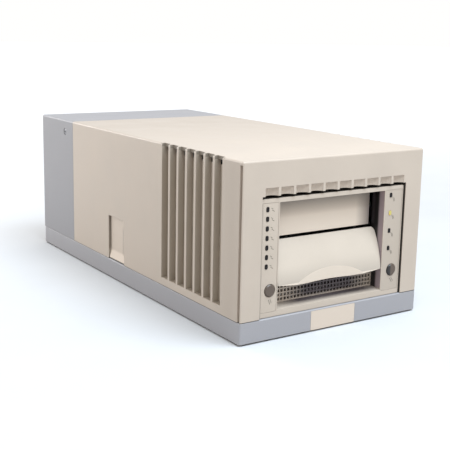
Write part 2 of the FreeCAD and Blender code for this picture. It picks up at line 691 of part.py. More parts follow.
def make_base_tray():
    body = new_body("base_tray")
    walls = rectangle("-side", "side", "front", "back")
    extrude(body, "TrayBlock", "XY", "foot_drop", "base_top", [walls])
    ease_edges(body, "TrayCorners", "Fillet", "corner", upright)
    top = value_of("base_top")
    ease_edges(body, "TrayLedge", "Chamfer", "ledge", lambda a, b: both(a, b, "z", top))
    hollow = rectangle(
        "base_wall - side", "side - base_wall", "front + base_wall", "back - base_wall"
    )
    extrude(body, "TrayHollow", "XY", "tray_floor", "base_top", [hollow], cut=True)
    seat = rectangle("-badge_wide/2", "badge_wide/2", "foot_drop", "base_top - badge_drop")
    extrude(body, "BadgeSeat", "XZ", "front", "front + badge_thick", [seat], cut=True)
    feet = foot_circles("foot_wide/2")
    extrude(body, "FootSeats", "XY", "foot_drop", "foot_drop + foot_seat", circles=feet, cut=True)
    bosses = [
        (f"{x}*(side - 2*foot_inset)", f"{y}*(back - 3*foot_inset)", "boss_wide/2")
        for x in (-1, 1)
        for y in (-1, 1)
    ]
    extrude(body, "ChassisBosses", "XY", "tray_floor", "chassis_low", circles=bosses)
    return body


def foot_circles(radius):
    return [
        (f"{x}*(side - foot_inset)", f"{y}*(back - foot_inset)", radius)
        for x in (-1, 1)
        for y in (-1, 1)
    ]


def make_rubber_feet():
    body = new_body("rubber_feet")
    feet = foot_circles("foot_wide/2 - screw_fit")
    extrude(body, "Pads", "XY", "0", "foot_drop + foot_seat", circles=feet)
    return body


def make_badge_plate():
    body = new_body("badge_plate")
    outline = rounded(
        "fit - badge_wide/2", "badge_wide/2 - fit",
        "foot_drop", "base_top - badge_drop - fit", "ledge",
    )
    extrude(body, "Plate", "XZ", "front", "front + badge_thick", [outline])
    return body


def make_chassis_frame():
    body = new_body("chassis_frame")
    section = [
        ("-chassis_side", "chassis_low"),
        ("chassis_side", "chassis_low"),
        ("chassis_side", "chassis_top"),
        ("chassis_side - sheet", "chassis_top"),
        ("chassis_side - sheet", "chassis_low + sheet"),
        ("sheet - chassis_side", "chassis_low + sheet"),
        ("sheet - chassis_side", "chassis_top"),
        ("-chassis_side", "chassis_top"),
    ]
    extrude(body, "Channel", "XZ", "chassis_front", "panel_front", [section])
    for tag, sign in SIDES:
        left, right = mirrored_span(sign, "chassis_side - chassis_tab", "chassis_side")
        tab = rectangle(left, right, "psu_high + 2*psu_gap", "chassis_top")
        extrude(body, f"Tab_{tag}", "XZ", "panel_front - sheet", "panel_front", [tab])
    holes = [(x, z, "screw_core/2 + screw_fit") for x, z in panel_screw_spots()]
    extrude(body, "TabHoles", "XZ", "panel_front - sheet", "panel_front", circles=holes, cut=True)
    window = rectangle(
        "vent_front + (vent_wide - slot_wide)/2", "vent_front + (vent_wide + slot_wide)/2",
        "base_top + 2*vent_sill", "chassis_top - 2*vent_sill",
    )
    slots = extrude(body, "AirSlot", "YZ", "-chassis_side", "chassis_side", [window], cut=True)
    repeat(body, "AirSlots", slots, "Y_Axis", "vent_pitch", "vent_count")
    return body


def make_vent_screens():
    body = new_body("vent_screens")
    outline = rectangle(
        "vent_front - vent_rib", "vent_front + vent_long + vent_rib", "vent_low - vent_rib",
        "chassis_top",
    )
    for tag, sign in SIDES:
        left, right = mirrored_span(sign, "chassis_side", "chassis_side + screen")
        extrude(body, f"Screen_{tag}", "YZ", left, right, [outline])
    return body


def cover_section():
    """Inverted U of the covers, seen from the front."""
    return [
        ("-side", "base_top"),
        ("-inner_side", "base_top"),
        ("-inner_side", "inner_top"),
        ("inner_side", "inner_top"),
        ("inner_side", "base_top"),
        ("side", "base_top"),
        ("side", "height"),
        ("-side", "height"),
    ]


def round_cover_ridges(body, name):
    side, top = value_of("side"), value_of("height")
    ease_edges(
        body, name, "Fillet", "corner",
        lambda a, b: along_y(a, b) and near(abs(a.x), side) and near(a.z, top),
    )


def add_vents(body, tag, sign):
    """Fins and open slots in one side wall; the slots notch the top edge too."""
    left, right = mirrored_span(sign, "fin_side", "inner_side")
    comb = rectangle(
        "vent_front - vent_rib", "vent_front + vent_long + vent_rib", "vent_low - vent_rib",
        "inner_top",
    )
    extrude(body, f"FinBlock_{tag}", "YZ", left, right, [comb])
    left, right = mirrored_span(sign, "fin_side", "side")
    slot = rectangle("vent_front", "vent_front + vent_wide", "vent_low", "inner_top")
    first = extrude(body, f"Slot_{tag}", "YZ", left, right, [slot], cut=True)
    repeat(body, f"Slots_{tag}", first, "Y_Axis", "vent_pitch", "vent_count")
    left, right = mirrored_span(sign, "inner_side", "side")
    notch = rectangle("vent_front", "vent_front + vent_wide", "inner_top", "height")
    first = extrude(body, f"Notch_{tag}", "YZ", left, right, [notch], cut=True)
    repeat(body, f"Notches_{tag}", first, "Y_Axis", "vent_pitch", "vent_count")


def add_grip(body, tag, sign):
    """Finger recess low on one side wall: slope in front, ramp below, slits behind and under."""
    start = "(front + grip_start)"
    end = "(front + grip_start + grip_long)"
    top = "(base_top + grip_tall)"
    ramp_top = "base_top + grip_ramp"
    left, right = mirrored_span(sign, "inner_side - grip_deep", "inner_side")
    pad = rectangle(f"{start} - shell", f"{end} + shell", "base_top", f"{top} + shell")
    extrude(body, f"GripBack_{tag}", "YZ", left, right, [pad])
    outer, inner = f"{sign}*side", f"{sign}*(side - grip_deep)"
    hollow = [(outer, start), (inner, f"{start} + grip_run"), (inner, end), (outer, end)]
    extrude(body, f"Grip_{tag}", "XY", ramp_top, top, [hollow], cut=True)
    ramp = [(outer, "base_top"), (outer, ramp_top), (inner, ramp_top)]
    extrude(body, f"GripRamp_{tag}", "XZ", start, end, [ramp], cut=True)
    left, right = mirrored_span(sign, "inner_side - grip_deep", "side")
    slit = rectangle(f"{end} - grip_slit", end, "base_top", top)
    extrude(body, f"GripSlit_{tag}", "YZ", left, right, [slit], cut=True)
    gap = rectangle(start, end, "base_top", "base_top + grip_gap")
    extrude(body, f"GripGap_{tag}", "YZ", left, right, [gap], cut=True)


def make_top_cover():
    body = new_body("top_cover")
    extrude(body, "Hood", "XZ", "cover_front", "split", [cover_section()])
    round_cover_ridges(body, "Ridges")
    for tag, sign in SIDES:
        add_vents(body, tag, sign)
        add_grip(body, tag, sign)
    return body


def make_front_bezel():
    body = new_body("front_bezel")
    arch = [
        ("-side", "base_top"),
        ("-bay_side", "base_top"),
        ("-bay_side", "bay_top"),
        ("bay_side", "bay_top"),
        ("bay_side", "base_top"),
        ("side", "base_top"),
        ("side", "height"),
        ("-side", "height"),
    ]
    extrude(body, "Arch", "XZ", "front", "cover_front", [arch])
    side, top, face = value_of("side"), value_of("height"), value_of("front")

    def outer(first, second):
        ridge = along_y(first, second) and near(abs(first.x), side) and near(first.z, top)
        post = upright(first, second) and near(abs(first.x), side)
        beam = both(first, second, "z", top)
        return ridge or (both(first, second, "y", face) and (post or beam))

    ease_edges(body, "OuterEdges", "Fillet", "corner", outer)
    inner_arch = [
        ("fit - inner_side", "base_top"),
        ("-bay_side", "base_top"),
        ("-bay_side", "bay_top"),
        ("bay_side", "bay_top"),
        ("bay_side", "base_top"),
        ("inner_side - fit", "base_top"),
        ("inner_side - fit", "inner_top - fit"),
        ("fit - inner_side", "inner_top - fit"),
    ]
    extrude(body, "Step", "XZ", "cover_front", "front + plate", [inner_arch])
    collar = [
        ("-bay_side - flange", "base_top"),
        ("-bay_side", "base_top"),
        ("-bay_side", "bay_top"),
        ("bay_side", "bay_top"),
        ("bay_side", "base_top"),
        ("bay_side + flange", "base_top"),
        ("bay_side + flange", "bay_top + flange"),
        ("-bay_side - flange", "bay_top + flange"),
    ]
    extrude(body, "Collar", "XZ", "front + plate", "front + bay_flange", [collar])
    for tag, sign in SIDES:
        left, right = mirrored_span(sign, "side - reveal_deep", "side")
        groove = rectangle(left, right, "front + lip", "cover_front")
        extrude(body, f"Reveal_{tag}", "XY", "base_top", "inner_top", [groove], cut=True)
    radius = "((flute_wide/2)^2 + flute_deep^2)/(2*flute_deep)"
    first_x = "-(flute_count - 1)*flute_pitch/2"
    flute = extrude(
        body, "Flute", "XY", "bay_top", "bay_top + flute_tall",
        circles=[(first_x, f"front + flute_deep - {radius}", radius)], cut=True,
    )
    repeat(body, "Flutes", flute, "X_Axis", "flute_pitch", "flute_count")
    return body


def make_rear_cover():
    body = new_body("rear_cover")
    extrude(body, "Hood", "XZ", "split + seam", "back", [cover_section()])
    rear_wall = rectangle("-inner_side", "inner_side", "base_top", "inner_top")
    extrude(body, "RearWall", "XZ", "back - shell", "back", [rear_wall])
    round_cover_ridges(body, "Ridges")
    opening = rounded(
        "hood_border - side", "side - hood_border", "hood_open_low", "height - hood_border", "shell"
    )
    extrude(body, "RearOpening", "XZ", "back - shell", "back", [opening], cut=True)
    for tag, sign in SIDES:
        left, right = mirrored_span(sign, "side - screw_cap", "side")
        place = ("hood_screw_y", "hood_screw_z")
        head = [(*place, "screw_head/2 + fit")]
        extrude(body, f"HeadSeat_{tag}", "YZ", left, right, circles=head, cut=True)
        left, right = mirrored_span(sign, "inner_side", "side - screw_cap")
        core = [(*place, "screw_core/2 + screw_fit")]
        extrude(body, f"ScrewHole_{tag}", "YZ", left, right, circles=core, cut=True)
    return body


def make_cover_screws():
    body = new_body("cover_screws", y="hood_screw_y", z="hood_screw_z")
    reach = "side - screw_cap - chassis_side"
    points = [(f"side - screw_cap + {v}", u) for u, v in screw_profile(reach)]
    turn_profile(body, "Screw", points, plane="XZ", axis="H_Axis")
    doc.recompute()
    mirror_body(body, "Pair")
    return body


def sector(inner, outer, half_angle):
    """Part of a ring about the sketch's own origin, centred on its upward axis."""
    turn = f"({half_angle})"
    return [
        (f"({outer})*sin{turn}", f"({outer})*cos{turn}"),
        (f"-({outer})*sin{turn}", f"({outer})*cos{turn}", outer, 1),
        (f"-({inner})*sin{turn}", f"({inner})*cos{turn}"),
        (f"({inner})*sin{turn}", f"({inner})*cos{turn}", inner, -1),
    ]


def make_rear_panel():
    body = new_body("rear_panel")
    plate = rectangle("fit - chassis_side", "chassis_side - fit", "panel_low", "chassis_top")
    extrude(body, "Plate", "XZ", "panel_front", "panel_back", [plate])
    cutouts = {
        "InletCut": rectangle(
            "inlet_x - inlet_wide/2 - fit", "inlet_x + inlet_wide/2 + fit",
            "inlet_z - inlet_tall/2 - fit", "inlet_z + inlet_tall/2 + fit",
        ),
        "SwitchCut": rectangle(
            "inlet_x - rocker_wide/2 - rocker_rim", "inlet_x + rocker_wide/2 + rocker_rim",
            "rocker_z - rocker_half - rocker_rim", "rocker_z + rocker_half + rocker_rim",
        ),
        "DialCut": rectangle(
            "dial_x - dial_side - fit", "dial_x + dial_side + fit",
            "dial_z - dial_half - fit", "dial_z + dial_half + fit",
        ),
        "LowerPortCut": port_outline("port_z", "port_wide/2 + fit", "port_tall/2 + fit"),
        "UpperPortCut": port_outline("port_top", "port_wide/2 + fit", "port_tall/2 + fit"),
    }
    for name, outline in cutouts.items():
        extrude(body, name, "XZ", "panel_front", "panel_back", [outline], cut=True)
    hole = "screw_core/2 + screw_fit"
    spots = [
        (x, z, hole) for x, z in fan_screw_spots() + panel_screw_spots() + port_screw_spots()
    ]
    extrude(body, "ScrewHoles", "XZ", "panel_front", "panel_back", circles=spots, cut=True)
    for index in range(int(value_of("ring_count"))):
        inner = f"(fan_bore/2 - ring_wide - {index}*ring_pitch)"
        outer = f"({inner} + ring_wide)"
        half_angle = f"45 deg - asin(spoke/2/{outer})"
        slot = extrude(
            body, f"AirSlot{index}", "XZ", "panel_front", "panel_back",
            [sector(inner, outer, half_angle)], cut=True, shift=("fan_x", "fan_z"),
        )
        repeat_round(body, f"AirRing{index}", slot, (slot.Profile[0], ["N_Axis"]), 4)
    return body


def panel_screw_spots():
    """Four screws that hold the rear panel to the chassis tabs."""
    x = "(chassis_side - chassis_tab/2)"
    return [
        (f"{sign}*{x}", z)
        for sign in (-1, 1)
        for z in ("psu_high + panel_screw_up", "chassis_top - panel_screw_drop")
    ]


def port_screw_spots():
    return [
        (f"port_x + {sign}*port_screw/2", z)
        for sign in (-1, 1)
        for z in ("port_z", "port_top")
    ]


def screws_along_y(name, spots, head_y, length):
    """Pan head screws at several places, heads to the back."""
    body = new_body(name)
    shanks = [(x, z, "screw_core/2") for x, z in spots]
    heads = [(x, z, "screw_head/2") for x, z in spots]
    extrude(body, "Shanks", "XZ", f"{head_y} - ({length})", head_y, circles=shanks)
    extrude(body, "Heads", "XZ", head_y, f"{head_y} + screw_cap", circles=heads)
    return body


def make_panel_screws():
    return screws_along_y("panel_screws", panel_screw_spots(), "panel_back", "panel_thick + sheet")


# Power supply and rear fittings


def make_psu_housing():
    body = new_body("psu_housing")
    box = rectangle("psu_left", "psu_end", "psu_low", "psu_high")
    extrude(body, "Box", "XZ", "psu_front", "panel_front", [box])
    inside = rectangle(
        "psu_left + psu_skin", "psu_end - psu_skin", "psu_low + psu_skin", "psu_high - psu_skin"
    )
    extrude(body, "Inside", "XZ", "psu_front + psu_skin", "panel_front", [inside], cut=True)
    slot = rectangle(
        "psu_front + 3*slot_wide", "psu_front + 4*slot_wide",
        "psu_low + 3*slot_wide", "psu_high - 3*slot_wide",
    )
    first = extrude(body, "AirSlot", "YZ", "psu_end - psu_skin", "psu_end", [slot], cut=True)
    repeat(body, "AirSlots", first, "Y_Axis", "2*slot_wide", "psu_slots")
    lead = rectangle(
        "lead_left", "lead_left + lead_wide",
        "psu_low + psu_tall/2", "psu_low + psu_tall/2 + lead_thick",
    )
    extrude(body, "LeadHole", "XZ", "psu_front", "psu_front + psu_skin", [lead], cut=True)
    return body


def make_psu_board():
    body = new_body("psu_board")
    low = "(psu_low + psu_skin)"
    top = f"({low} + board)"
    left, front = "(psu_left + psu_set)", "(psu_front + psu_set)"
    plate = rectangle(
        "psu_left + psu_board_gap", "psu_end - psu_board_gap",
        "psu_front + psu_board_gap", "panel_front - inlet_deep - psu_board_gap",
    )
    extrude(body, "Board", "XY", low, top, [plate])
    core = rounded(left, f"{left} + core_wide", front, f"{front} + core_long", "small_round")
    extrude(body, "Transformer", "XY", top, f"{top} + core_tall", [core])
    cans = [
        (f"{left} + core_wide/2 + {sign}*can_pitch/2", f"{front} + core_long + can_pitch", "can_wide/2")
        for sign in (-1, 1)
    ]
    extrude(body, "Capacitors", "XY", top, f"{top} + can_tall", circles=cans)
    right = "(psu_end - psu_set)"
    fin = rectangle(f"{right} - sink_thick", right, front, f"{front} + sink_long")
    extrude(body, "HeatSink", "XY", top, f"{top} + sink_tall", [fin])
    return body


def make_power_inlet():
    body = new_body("power_inlet")
    block = rectangle(
        "inlet_x - inlet_wide/2", "inlet_x + inlet_wide/2",
        "inlet_z - inlet_tall/2", "inlet_z + inlet_tall/2",
    )
    extrude(body, "Block", "XZ", "panel_back - inlet_deep", "panel_back", [block])
    plate = rounded(
        "inlet_x - inlet_flange_wide/2", "inlet_x + inlet_flange_wide/2",
        "inlet_z - inlet_flange_tall/2", "inlet_z + inlet_flange_tall/2", "2*small_round",
    )
    extrude(body, "Flange", "XZ", "panel_back", "panel_back + inlet_flange", [plate])
    mouth = [
        ("inlet_x - mouth_wide/2", "inlet_z - mouth_tall/2"),
        ("inlet_x + mouth_wide/2", "inlet_z - mouth_tall/2"),
        ("inlet_x + mouth_wide/2", "inlet_z + mouth_tall/4"),
        ("inlet_x + mouth_wide/4", "inlet_z + mouth_tall/2"),
        ("inlet_x - mouth_wide/4", "inlet_z + mouth_tall/2"),
        ("inlet_x - mouth_wide/2", "inlet_z + mouth_tall/4"),
    ]
    rim = "(panel_back + inlet_flange)"
    extrude(body, "Mouth", "XZ", f"{rim} - mouth_deep", rim, [mouth], cut=True)
    ears = [
        (f"inlet_x + {sign}*ear_pitch/2", "inlet_z", "screw_core/2 + screw_fit")
        for sign in (-1, 1)
    ]
    extrude(body, "EarHoles", "XZ", "panel_back", rim, circles=ears, cut=True)
    return body


def make_inlet_pins():
    body = new_body("inlet_pins")
    rim = "(panel_back + inlet_flange)"
    spots = (
        ("inlet_x - prong_pitch/2", "inlet_z"),
        ("inlet_x + prong_pitch/2", "inlet_z"),
        ("inlet_x", "inlet_z + prong_tall"),
    )
    prongs = [
        rectangle(
            f"{x} - prong_wide/2", f"{x} + prong_wide/2",
            f"{z} - prong_tall/2", f"{z} + prong_tall/2",
        )
        for x, z in spots
    ]
    extrude(body, "Prongs", "XZ", f"{rim} - mouth_deep", f"{rim} - prong_set", prongs)
    return body


def make_switch_frame():
    body = new_body("switch_frame")
    half_x, half_z = "(rocker_wide/2 + button_gap)", "rocker_half"
    shell = rectangle(
        f"inlet_x - {half_x} - rocker_rim + 2*fit", f"inlet_x + {half_x} + rocker_rim - 2*fit",
        f"rocker_z - {half_z} - rocker_rim + fit", f"rocker_z + {half_z} + rocker_rim - fit",
    )
    extrude(body, "Case", "XZ", "panel_back - rocker_deep", "panel_back", [shell])
    edge = "(rocker_rim + rim_flange)"
    rim = rounded(
        f"inlet_x - {half_x} - {edge}", f"inlet_x + {half_x} + {edge}",
        f"rocker_z - {half_z} - {edge}", f"rocker_z + {half_z} + {edge}", "small_round",
    )
    extrude(body, "Rim", "XZ", "panel_back", "panel_back + rim_proud", [rim])
    well = rectangle(
        f"inlet_x - {half_x}", f"inlet_x + {half_x}",
        f"rocker_z - {half_z}", f"rocker_z + {half_z}",
    )
    extrude(body, "Well", "XZ", "rocker_y - rocker_reach", "panel_back + rim_proud", [well], cut=True)
    return body


def make_power_rocker():
    """Rocker cap with a shallow V front, leaning to its off side."""
    body = new_body("power_rocker", "inlet_x", "rocker_y", "rocker_z")
    angle = value_of("rocker_tilt")
    body.Placement = Placement(body.Placement.Base, Rotation(Vector(1, 0, 0), angle))
    body.setExpression(".Placement.Rotation.Angle", bound("rocker_tilt"))
    profile = [
        ("rocker_edge", "-rocker_reach"),
        ("rocker_tip", "rocker_taper - rocker_reach"),
        ("rocker_dish", "0"),
        ("rocker_tip", "rocker_reach - rocker_taper"),
        ("rocker_edge", "rocker_reach"),
        ("-rocker_root", "rocker_reach/2"),
        ("-rocker_root", "-rocker_reach/2"),
    ]
    extrude(body, "Cap", "YZ", "-rocker_wide/2", "rocker_wide/2", [profile])
    return body


def fan_screw_spots():
    return [
        (f"fan_x + {x}*fan_pitch/2", f"fan_z + {z}*fan_pitch/2")
        for x in (-1, 1)
        for z in (-1, 1)
    ]


def make_fan_frame():
    body = new_body("fan_frame", x="fan_x", y="panel_front - fan_deep", z="fan_z")
    half = "fan_side/2"
    square = rounded(f"-{half}", half, f"-{half}", half, "2*small_round")
    extrude(body, "Frame", "XZ", "0", "fan_deep", [square])
    extrude(body, "Bore", "XZ", "0", "fan_deep", circles=[("0", "0", "fan_bore/2")], cut=True)
    plate = [("0", "0", "fan_hub/2")]
    extrude(body, "MotorPlate", "XZ", "0", "fan_strut", circles=plate)
    arm = rectangle("-fan_strut/2", "fan_strut/2", "fan_hub/2 - bite", "fan_bore/2 + bite")
    strut = extrude(body, "Strut", "XZ", "0", "fan_strut", [arm])
    repeat_round(body, "Struts", strut, (origin_part(body, "Y_Axis"), [""]), 4)
    holes = [
        (f"{x}*fan_pitch/2", f"{z}*fan_pitch/2", "screw_core/2 + screw_fit")
        for x in (-1, 1)
        for z in (-1, 1)
    ]
    extrude(body, "CornerHoles", "XZ", "0", "fan_deep", circles=holes, cut=True)
    spindle = [("0", "0", "spindle_wide/2")]
    extrude(body, "Spindle", "XZ", "fan_strut", "fan_deep - fan_strut - bite", circles=spindle)
    return body


def make_fan_rotor():
    """Hub with lofted, twisted blades about the Y axis."""
    body = new_body("fan_rotor", x="fan_x", y="panel_front - fan_deep", z="fan_z")
    start, end = "(fan_strut + fan_play)", "(fan_deep - fan_play)"
    extrude(body, "Hub", "XZ", start, end, circles=[("0", "0", "fan_hub/2")])
    bore = [("0", "0", "spindle_wide/2 + shaft_fit")]
    extrude(body, "HubBore", "XZ", start, "fan_deep - fan_strut", circles=bore, cut=True)
    tip = "sqrt((fan_bore/2 - fan_gap)^2 - (tip_sweep + blade_thick)^2)"
    profiles = []
    for tag, level, sweep in (("Root", "fan_hub/2 - bite", "root_sweep"), ("Tip", tip, "tip_sweep")):
        sketch = new_sketch(body, f"Blade{tag}", "XY", level)
        points = [
            (f"-{sweep}", f"{end} - fit"),
            (f"-{sweep} - blade_thick", f"{end} - fit"),
            (f"{sweep} - blade_thick", f"{start} + fit"),
            (sweep, f"{start} + fit"),
        ]
        draw_outline(sketch, points)
        profiles.append(sketch)
    blade = body.newObject("PartDesign::AdditiveLoft", "Blade")
    blade.Profile = profiles[0]
    blade.Sections = profiles[1:]
    blade.Ruled = True
    repeat_round(body, "Blades", blade, (origin_part(body, "Y_Axis"), [""]), "fan_blades")
    return body


def make_fan_screws():
    length = "panel_thick + fan_deep - fan_strut"
    return screws_along_y("fan_screws", fan_screw_spots(), "panel_back", length)


def port_outline(centre_z, half_wide, half_tall):
    """D-shaped shell, narrower at the bottom."""
    return [
        (f"port_x - ({half_wide}) + port_lean", f"{centre_z} - ({half_tall})"),
        (f"port_x + ({half_wide}) - port_lean", f"{centre_z} - ({half_tall})"),
        (f"port_x + ({half_wide})", f"{centre_z} + ({half_tall})"),
        (f"port_x - ({half_wide})", f"{centre_z} + ({half_tall})"),
    ]


def make_data_port(name, centre_z):
    """Data socket: shell through the panel, contact tongue and a body with ears inside."""
    body = new_body(name)
    half_wide, half_tall = "port_wide/2", "port_tall/2"
    outer = port_outline(centre_z, half_wide, half_tall)
    rim = "(panel_back + port_proud)"
    extrude(body, "Shell", "XZ", "panel_front", rim, [outer])
    inner = port_outline(centre_z, f"{half_wide} - port_skin", f"{half_tall} - port_skin")
    extrude(body, "Hollow", "XZ", "panel_front", rim, [inner], cut=True)
    ears = rounded(
        "port_x - port_screw/2 - jack_wide", "port_x + port_screw/2 + jack_wide",
        f"{centre_z} - port_tall/2 - bite", f"{centre_z} + port_tall/2 + bite", "small_round",
    )
    extrude(body, "Block", "XZ", "panel_front - port_deep", "panel_front", [ears])
    tongue = rectangle(
        f"port_x - {half_wide} + 3*port_skin", f"port_x + {half_wide} - 3*port_skin",
        f"{centre_z} - tongue/2", f"{centre_z} + tongue/2",
    )
    extrude(body, "Tongue", "XZ", "panel_front", "panel_back + port_proud/2", [tongue])
    return body


def make_port_screws():
    body = new_body("port_screws")
    flat = "jack_wide/2"
    hexagons = []
    for x, z in port_screw_spots():
        corner = "(jack_wide/2/cos(30))"
        hexagons.append([
            (f"{x} + {corner}*cos({60 * step})", f"{z} + {corner}*sin({60 * step})")
            for step in range(6)
        ])
    extrude(body, "Heads", "XZ", "panel_back", "panel_back + port_proud", hexagons)
    shanks = [(x, z, "screw_core/2") for x, z in port_screw_spots()]
    extrude(body, "Shanks", "XZ", "panel_front", "panel_back", circles=shanks)
    return body


def make_address_switch():
    """Housing of the address selector, open for its wheel and two keys."""
    body = new_body("address_switch")
    case = rectangle(
        "dial_x - dial_side", "dial_x + dial_side", "dial_z - dial_half", "dial_z + dial_half"
    )
    extrude(body, "Case", "XZ", "panel_front - dial_deep", "panel_back", [case])
    rim = rounded(
        "dial_x - dial_side - rim_flange", "dial_x + dial_side + rim_flange",
        "dial_z - dial_half - rim_flange", "dial_z + dial_half + rim_flange", "small_round/2",
    )
    extrude(body, "Rim", "XZ", "panel_back", "panel_back + dial_proud", [rim])
    well = rectangle(
        "dial_x - wheel_thick/2 - button_gap", "dial_x + wheel_thick/2 + button_gap",
        "dial_z - wheel_wide/2 - button_gap", "dial_z + wheel_wide/2 + button_gap",
    )
    rim_back = "panel_back + dial_proud"
    extrude(body, "WheelWell", "XZ", "wheel_y - wheel_wide/2 - button_gap", rim_back, [well], cut=True)
    keys = [
        ("dial_x", f"dial_z + {sign}*key_pitch/2", "key_wide/2 + button_gap") for sign in (-1, 1)
    ]
    extrude(body, "KeyWells", "XZ", "panel_back - key_deep", rim_back, circles=keys, cut=True)
    axle = [("wheel_y", "dial_z", "axle_wide/2")]
    reach = "(wheel_thick/2 + bite)"
    extrude(body, "Axle", "YZ", f"dial_x - {reach}", f"dial_x + {reach}", circles=axle)
    return body


def make_address_wheel():
    body = new_body("address_wheel", "dial_x", "wheel_y", "dial_z")
    half = "wheel_thick/2"
    wheel = [("0", "0", "wheel_wide/2")]
    extrude(body, "Wheel", "YZ", f"-{half}", half, circles=wheel)
    bore = [("0", "0", "axle_wide/2 + shaft_fit")]
    extrude(body, "Bore", "YZ", f"-{half}", half, circles=bore, cut=True)
    return body


def make_address_key(name, sign):
    body = new_body(name, "dial_x", "panel_back", f"dial_z + {sign}*key_pitch/2")
    inner, outer = "key_travel - key_deep + 2*button_gap", "dial_proud + key_travel"
    profile = [
        ("0", inner),
        ("key_wide/2", inner),
        ("key_wide/2", f"{outer} - key_ease"),
        ("key_wide/2 - key_ease", outer),
        ("0", outer),
    ]
    turn_profile(body, "Key", profile, plane="XY")
    return body


# Front of the drive


def lens_outline(x, z):
    return rounded(f"{x} - lens_wide/2", f"{x} + lens_wide/2", f"{z} - lens_tall/2",
                   f"{z} + lens_tall/2", "lens_round")


def lens_hole(x, z):
    return rounded(f"{x} - lens_wide/2 - fit", f"{x} + lens_wide/2 + fit",
                   f"{z} - lens_tall/2 - fit", f"{z} + lens_tall/2 + fit", "(lens_round + fit)")


def lens_columns():
    """Tag, place of the highest lens, spacing and number of each column of lenses."""
    return (
        ("left", "left_lens_x", "face_low + left_lens_up", "left_lens_pitch", "left_lens_count"),
        ("right", "right_lens_x", "face_low + right_lens_up", "right_lens_pitch", "right_lens_count"),
    )


def strip_outline(tag, play):
    """Label strip of one column, smaller by play all round."""
    if tag == "left":
        left, right = "strip_edge - face_side", "recess_left - strip_edge"
    else:
        left, right = "recess_right + strip_edge", "face_side - strip_edge"
    return rounded(f"{left} + {play}", f"{right} - {play}", f"face_low + strip_low + {play}",
                   f"face_high - strip_high - {play}", "strip_round")


def make_drive_bezel():
    body = new_body("drive_bezel")
    block = rounded("-face_side", "face_side", "face_low", "face_high", "small_round/2")
    extrude(body, "Block", "XZ", "face", "face_back", [block])
    mouth = rectangle("recess_left", "recess_right", "recess_step", "recess_high")
    extrude(body, "Recess", "XZ", "face", "face_back", [mouth], cut=True)
    slope = [("face", "recess_low"), ("recess_back", "recess_step"), ("face", "recess_step")]
    extrude(body, "SillSlope", "YZ", "recess_left", "recess_right", [slope], cut=True)
    hollows = {
        "left": ("face_wall - face_side", "recess_left - face_wall"),
        "right": ("recess_right + face_wall", "face_side - face_wall"),
    }
    for tag, (left, right) in hollows.items():
        pocket = rectangle(left, right, "face_low + face_wall", "face_high - face_wall")
        extrude(body, f"Hollow_{tag}", "XZ", "skin_back", "face_back", [pocket], cut=True)
        extrude(body, f"StripSeat_{tag}", "XZ", "face", "face + strip + fit",
                [strip_outline(tag, "0")], cut=True)
    for tag, x, z, pitch, count in lens_columns():
        hole = extrude(body, f"LensHole_{tag}", "XZ", "face", "skin_back", [lens_hole(x, z)], cut=True)
        repeat(body, f"LensHoles_{tag}", hole, "Z_Axis", f"-{pitch}", count)
    buttons = [(f"{sign}*button_x", "button_z", "button_wide/2 + button_gap") for sign in (-1, 1)]
    extrude(body, "ButtonHoles", "XZ", "face", "skin_back", circles=buttons, cut=True)
    pin = [("pivot_y", "pivot_z", "pin_wide/2 + screw_fit")]
    cheeks = {
        "left": ("recess_left - face_wall", "recess_left"),
        "right": ("recess_right", "recess_right + face_wall"),
    }
    for tag, (left, right) in cheeks.items():
        extrude(body, f"PinHole_{tag}", "YZ", left, right, circles=pin, cut=True)
    return body


def make_indicator_strip(column):
    tag, x, z, pitch, count = column
    body = new_body(f"{tag}_indicator_strip")
    start, end = "face + fit", "face + fit + strip"
    extrude(body, "Strip", "XZ", start, end, [strip_outline(tag, "fit")])
    hole = extrude(body, "LensHole", "XZ", start, end, [lens_hole(x, z)], cut=True)
    repeat(body, "LensHoles", hole, "Z_Axis", f"-{pitch}", count)
    sign = -1 if tag == "left" else 1
    button = [(f"{sign}*button_x", "button_z", "button_wide/2 + button_gap")]
    extrude(body, "ButtonHole", "XZ", start, end, circles=button, cut=True)
    return body


def make_lenses(name, x, z, pitch, count):
    """Light pipes from the indicator board to the face, one above the other."""
    body = new_body(name)
    pipe = extrude(body, "Pipe", "XZ", "face - fit", "board_front", [lens_outline(x, z)])
    if count != "1":
        repeat(body, "Pipes", pipe, "Z_Axis", f"-{pitch}", count)
    return body


def make_all_lenses():
    left, right = lens_columns()
    top = right[2]
    below = f"{top} - 2*right_lens_pitch"
    return [
        make_lenses("status_lenses", *left[1:]),
        make_lenses("density_lenses", right[1], below, "right_lens_pitch", "right_lens_count - 2"),
        make_lenses("top_lens", right[1], top, "right_lens_pitch", "1"),
        make_lenses("amber_lens", right[1], f"{top} - right_lens_pitch", "right_lens_pitch", "1"),
    ]


def make_panel_boards():
    """The two small boards behind the columns, each with its push switch."""
    body = new_body("panel_boards")
    spans = {
        "left": ("face_wall + fit - face_side", "recess_left - face_wall - fit"),
        "right": ("recess_right + face_wall + fit", "face_side - face_wall - fit"),
    }
    plates = [
        rectangle(left, right, "face_low + 2*face_wall", "face_high - 2*face_wall")
        for left, right in spans.values()
    ]
    extrude(body, "Boards", "XZ", "board_front", "board_front + board", plates)
    switches = [
        rectangle(f"{sign}*button_x - switch_wide/2", f"{sign}*button_x + switch_wide/2",
                  "button_z - switch_wide/2", "button_z + switch_wide/2")
        for sign in (-1, 1)
    ]
    extrude(body, "Switches", "XZ", "board_front - switch_tall", "board_front", switches)
    return body


